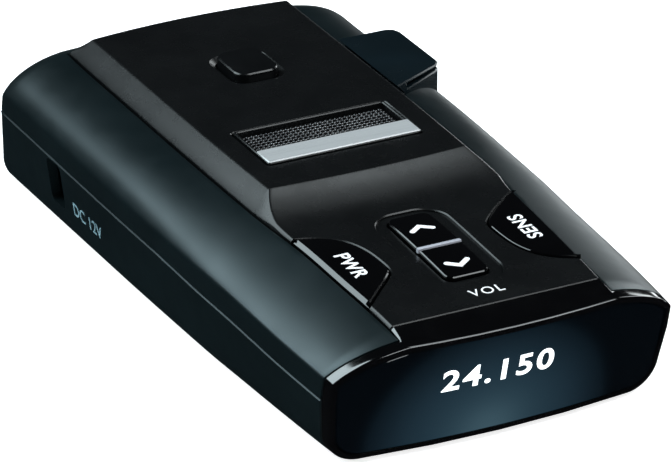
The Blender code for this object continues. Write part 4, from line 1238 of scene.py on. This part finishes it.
def makeLaserWindow():
    place = laserPlace
    shape = flatSheet([(x, 0, z) for x, z in laserOutline()])
    cutAcross(shape, spaced(place["x"] - 8, place["x"] + 8, 17), (1, 0, 0))
    for corner in shape.verts:
        corner.co.y = rearFace(corner.co.x, corner.co.z) - place["setIn"]
    bmesh.ops.translate(shape, vec=(0, -place["thick"], 0), verts=pushOut(shape))
    bmesh.ops.recalc_face_normals(shape, faces=shape.faces)
    softenEdges(shape, *place["softEdge"], lambda spot: spot.y > rearFace(spot.x, spot.z) - 0.4, 50)
    finishPiece("laserWindow", shape, finishes["infrared"], replaces=["laser_window"])


# heights run up from the underside; the cross recess is two crossed bars
screwDetail = {"headRadius": 2.3, "headFrom": 0.2, "headHigh": 0.6, "headEdge": (0.25, 3),
               "cross": (1.35, 0.28), "crossDepth": 0.42, "shankRadius": 1.1, "shank": (0.45, 9.0)}


def makeScrews():
    d = screwDetail
    for number, (x, y) in enumerate(screwPlaces, 1):
        low = lineAt(y)["lowZ"] + d["headFrom"]
        head = roundBar(d["headRadius"], (x, y, low), (x, y, low + d["headHigh"]), 40)
        softenEdges(head, *d["headEdge"], lambda spot: spot.z < low + 0.1)
        for half in (d["cross"], d["cross"][::-1]):
            bar = roundedBox(*half, 0.1, (x, y), 2)
            head = carve(head, upright(bar, low - 1, low + d["crossDepth"]))
        start, end = d["shank"]
        shank = roundBar(d["shankRadius"], (x, y, low + start), (x, y, low + end), 24)
        finishPiece("caseScrew%d" % number, carve(head, shank, "UNION"), finishes["screw"],
                    replaces=["case_screw_%d" % number])


makeSocket()
makeLaserWindow()
makeScrews()
print("socket, laser window and screws made")

# lit figures on the window and the printed legend below the socket
figureDetail = {"words": "24.150", "size": 4.4, "middle": (-2.1, 14.3), "bolder": 0.022, "spacing": 1.15,
                "stretch": 1.16, "lift": -0.005}
socketLegendDetail = {"words": "DC 12V", "size": 2.6, "middle": (-29.9, 7.9), "bolder": 0.006,
                      "lift": 0.03}


def onWindow(x, z, lift):
    return (x, frontFace(x, z) - lift, z)


def makeFigures():
    d = figureDetail
    shape = letterShape(d["words"], d["size"], d["middle"], 0, onWindow, d["bolder"], d["spacing"],
                        d["stretch"], d["lift"])
    finishPiece("displayFigures", shape, finishes["glow"])


def onLeftWall(y, z, lift):
    # the wall leans in a little from the crease to the foot
    line = lineAt(-y)
    split, middle = splitHeight(-y), line["lowZ"] + line["cornerRadius"]
    rise = min(1.0, max(0.0, (z - middle) / (split - middle)))
    return (-blend(line["footX"], line["creaseX"] - caseLines["wallIn"], rise) - lift, y, z)


def makeSocketLegend():
    d = socketLegendDetail
    shape = letterShape(d["words"], d["size"], d["middle"], 0, onLeftWall, d["bolder"], lift=d["lift"])
    # seen from outside, the wall's letters run towards -Y
    for corner in shape.verts:
        corner.co.y = -corner.co.y
    bmesh.ops.recalc_face_normals(shape, faces=shape.faces)
    finishPiece("socketLegend", shape, finishes["sideInk"])


makeFigures()
makeSocketLegend()
print("figures and legends made")

# the pieces inside keep their CAD shape
insides = {"gloss": ["display_panel"],
           "plastic": ["speaker", "laser_sensor", "mute_switch", "power_switch", "sensitivity_switch",
                       "volume_up_switch", "volume_down_switch"],
           "tin": ["horn_antenna", "receiver_can"],
           "board": ["display_board", "main_board", "key_board", "top_board"]}
for finish, nodes in insides.items():
    for node in nodes:
        cadNodes[node].data.materials.clear()
        cadNodes[node].data.materials.append(finishes[finish])
print("inner pieces finished")

studioDetail = {"floor": (0.93, 0.93, 0.94), "floorGlow": 0.85, "floorLow": -0.0004,
                "world": (0.010, 0.011, 0.012)}
coolWhite = (0.92, 0.98, 1.0)
# place, aim, width and depth in metres; power in watts; colour
lamps = {
    "leftSoftbox": ((-0.66, 0.55, 0.82), (0, 0, 0.02), (0.80, 0.86), 13.5, (0.80, 0.95, 1.0)),
    "overheadStrip": ((0.55, 0.0, 1.3), (0, -0.02, 0.02), (0.5, 0.35), 2.4, (0.88, 0.97, 1.0)),
    "overheadRear": ((0.52, 0.34, 1.2), (0, -0.02, 0.02), (0.4, 0.4), 0.6, (0.88, 0.97, 1.0)),
    "frontTop": ((0.30, -0.66, 0.98), (0, -0.02, 0.02), (1.3, 0.35), 9, coolWhite),
    "rightFill": ((0.98, 0.47, 0.52), (0, 0, 0.02), (0.36, 0.36), 1.3, coolWhite),
    "rightSide": ((1.0, 0.62, 0.28), (0, 0, 0.02), (0.40, 0.30), 1.4, coolWhite),
    "nearCard": ((0.45, 0.09, 0.001), (0.45, 0.09, 1.0), (0.7, 0.10), 0.7, coolWhite),
    "farCard": ((0.60, 0.72, 0.001), (0.60, 0.72, 1.0), (1.1, 1.16), 1.2, coolWhite),
}


def areaLight(name, place, aim, size, power, colour):
    lamp = bpy.data.lights.new(name, "AREA")
    lamp.shape = "RECTANGLE"
    lamp.size, lamp.size_y = size
    lamp.energy = power
    lamp.color = colour
    item = bpy.data.objects.new(name, lamp)
    item.location = place
    item.visible_camera = False
    item.rotation_euler = (Vector(aim) - Vector(place)).to_track_quat("-Z", "Y").to_euler()
    bpy.context.scene.collection.objects.link(item)


def makeStudio():
    d = studioDetail
    shape = bmesh.new()
    bmesh.ops.create_grid(shape, x_segments=1, y_segments=1, size=4.0)
    floor = toObject(shape, "floor")
    shape.free()
    paper = newFinish("palePaper", d["floor"], 0.9, specular=0.0, glow=((1, 1, 1), d["floorGlow"]))
    floor.data.materials.append(paper)
    floor.location.z = d["floorLow"]
    floor.visible_glossy = False  # the dark set around the object shows in its gloss, not the paper
    world = bpy.data.worlds.new("studio")
    world.use_nodes = True
    world.node_tree.nodes["Background"].inputs["Color"].default_value = (*d["world"], 1)
    world.node_tree.nodes["Background"].inputs["Strength"].default_value = 1.0
    bpy.context.scene.world = world
    for name, settings in lamps.items():
        areaLight(name, *settings)


cameraDetail = {"place": (-0.3619, -0.7106, 0.4010), "azimuth": -27.02, "elevation": 26.04,
                "lens": 267.9, "sensor": 36}


def makeCamera():
    d = cameraDetail
    lens = bpy.data.cameras.new("camera")
    lens.lens, lens.sensor_width = d["lens"], d["sensor"]
    lens.clip_start, lens.clip_end = 0.05, 20
    camera = bpy.data.objects.new("camera", lens)
    camera.location = d["place"]
    camera.rotation_euler = (math.pi / 2 - math.radians(d["elevation"]), 0, math.radians(d["azimuth"]))
    bpy.context.scene.collection.objects.link(camera)
    bpy.context.scene.camera = camera
    bpy.context.scene.view_settings.view_transform = "Standard"


makeStudio()
makeCamera()
print("floor, lights and camera placed")
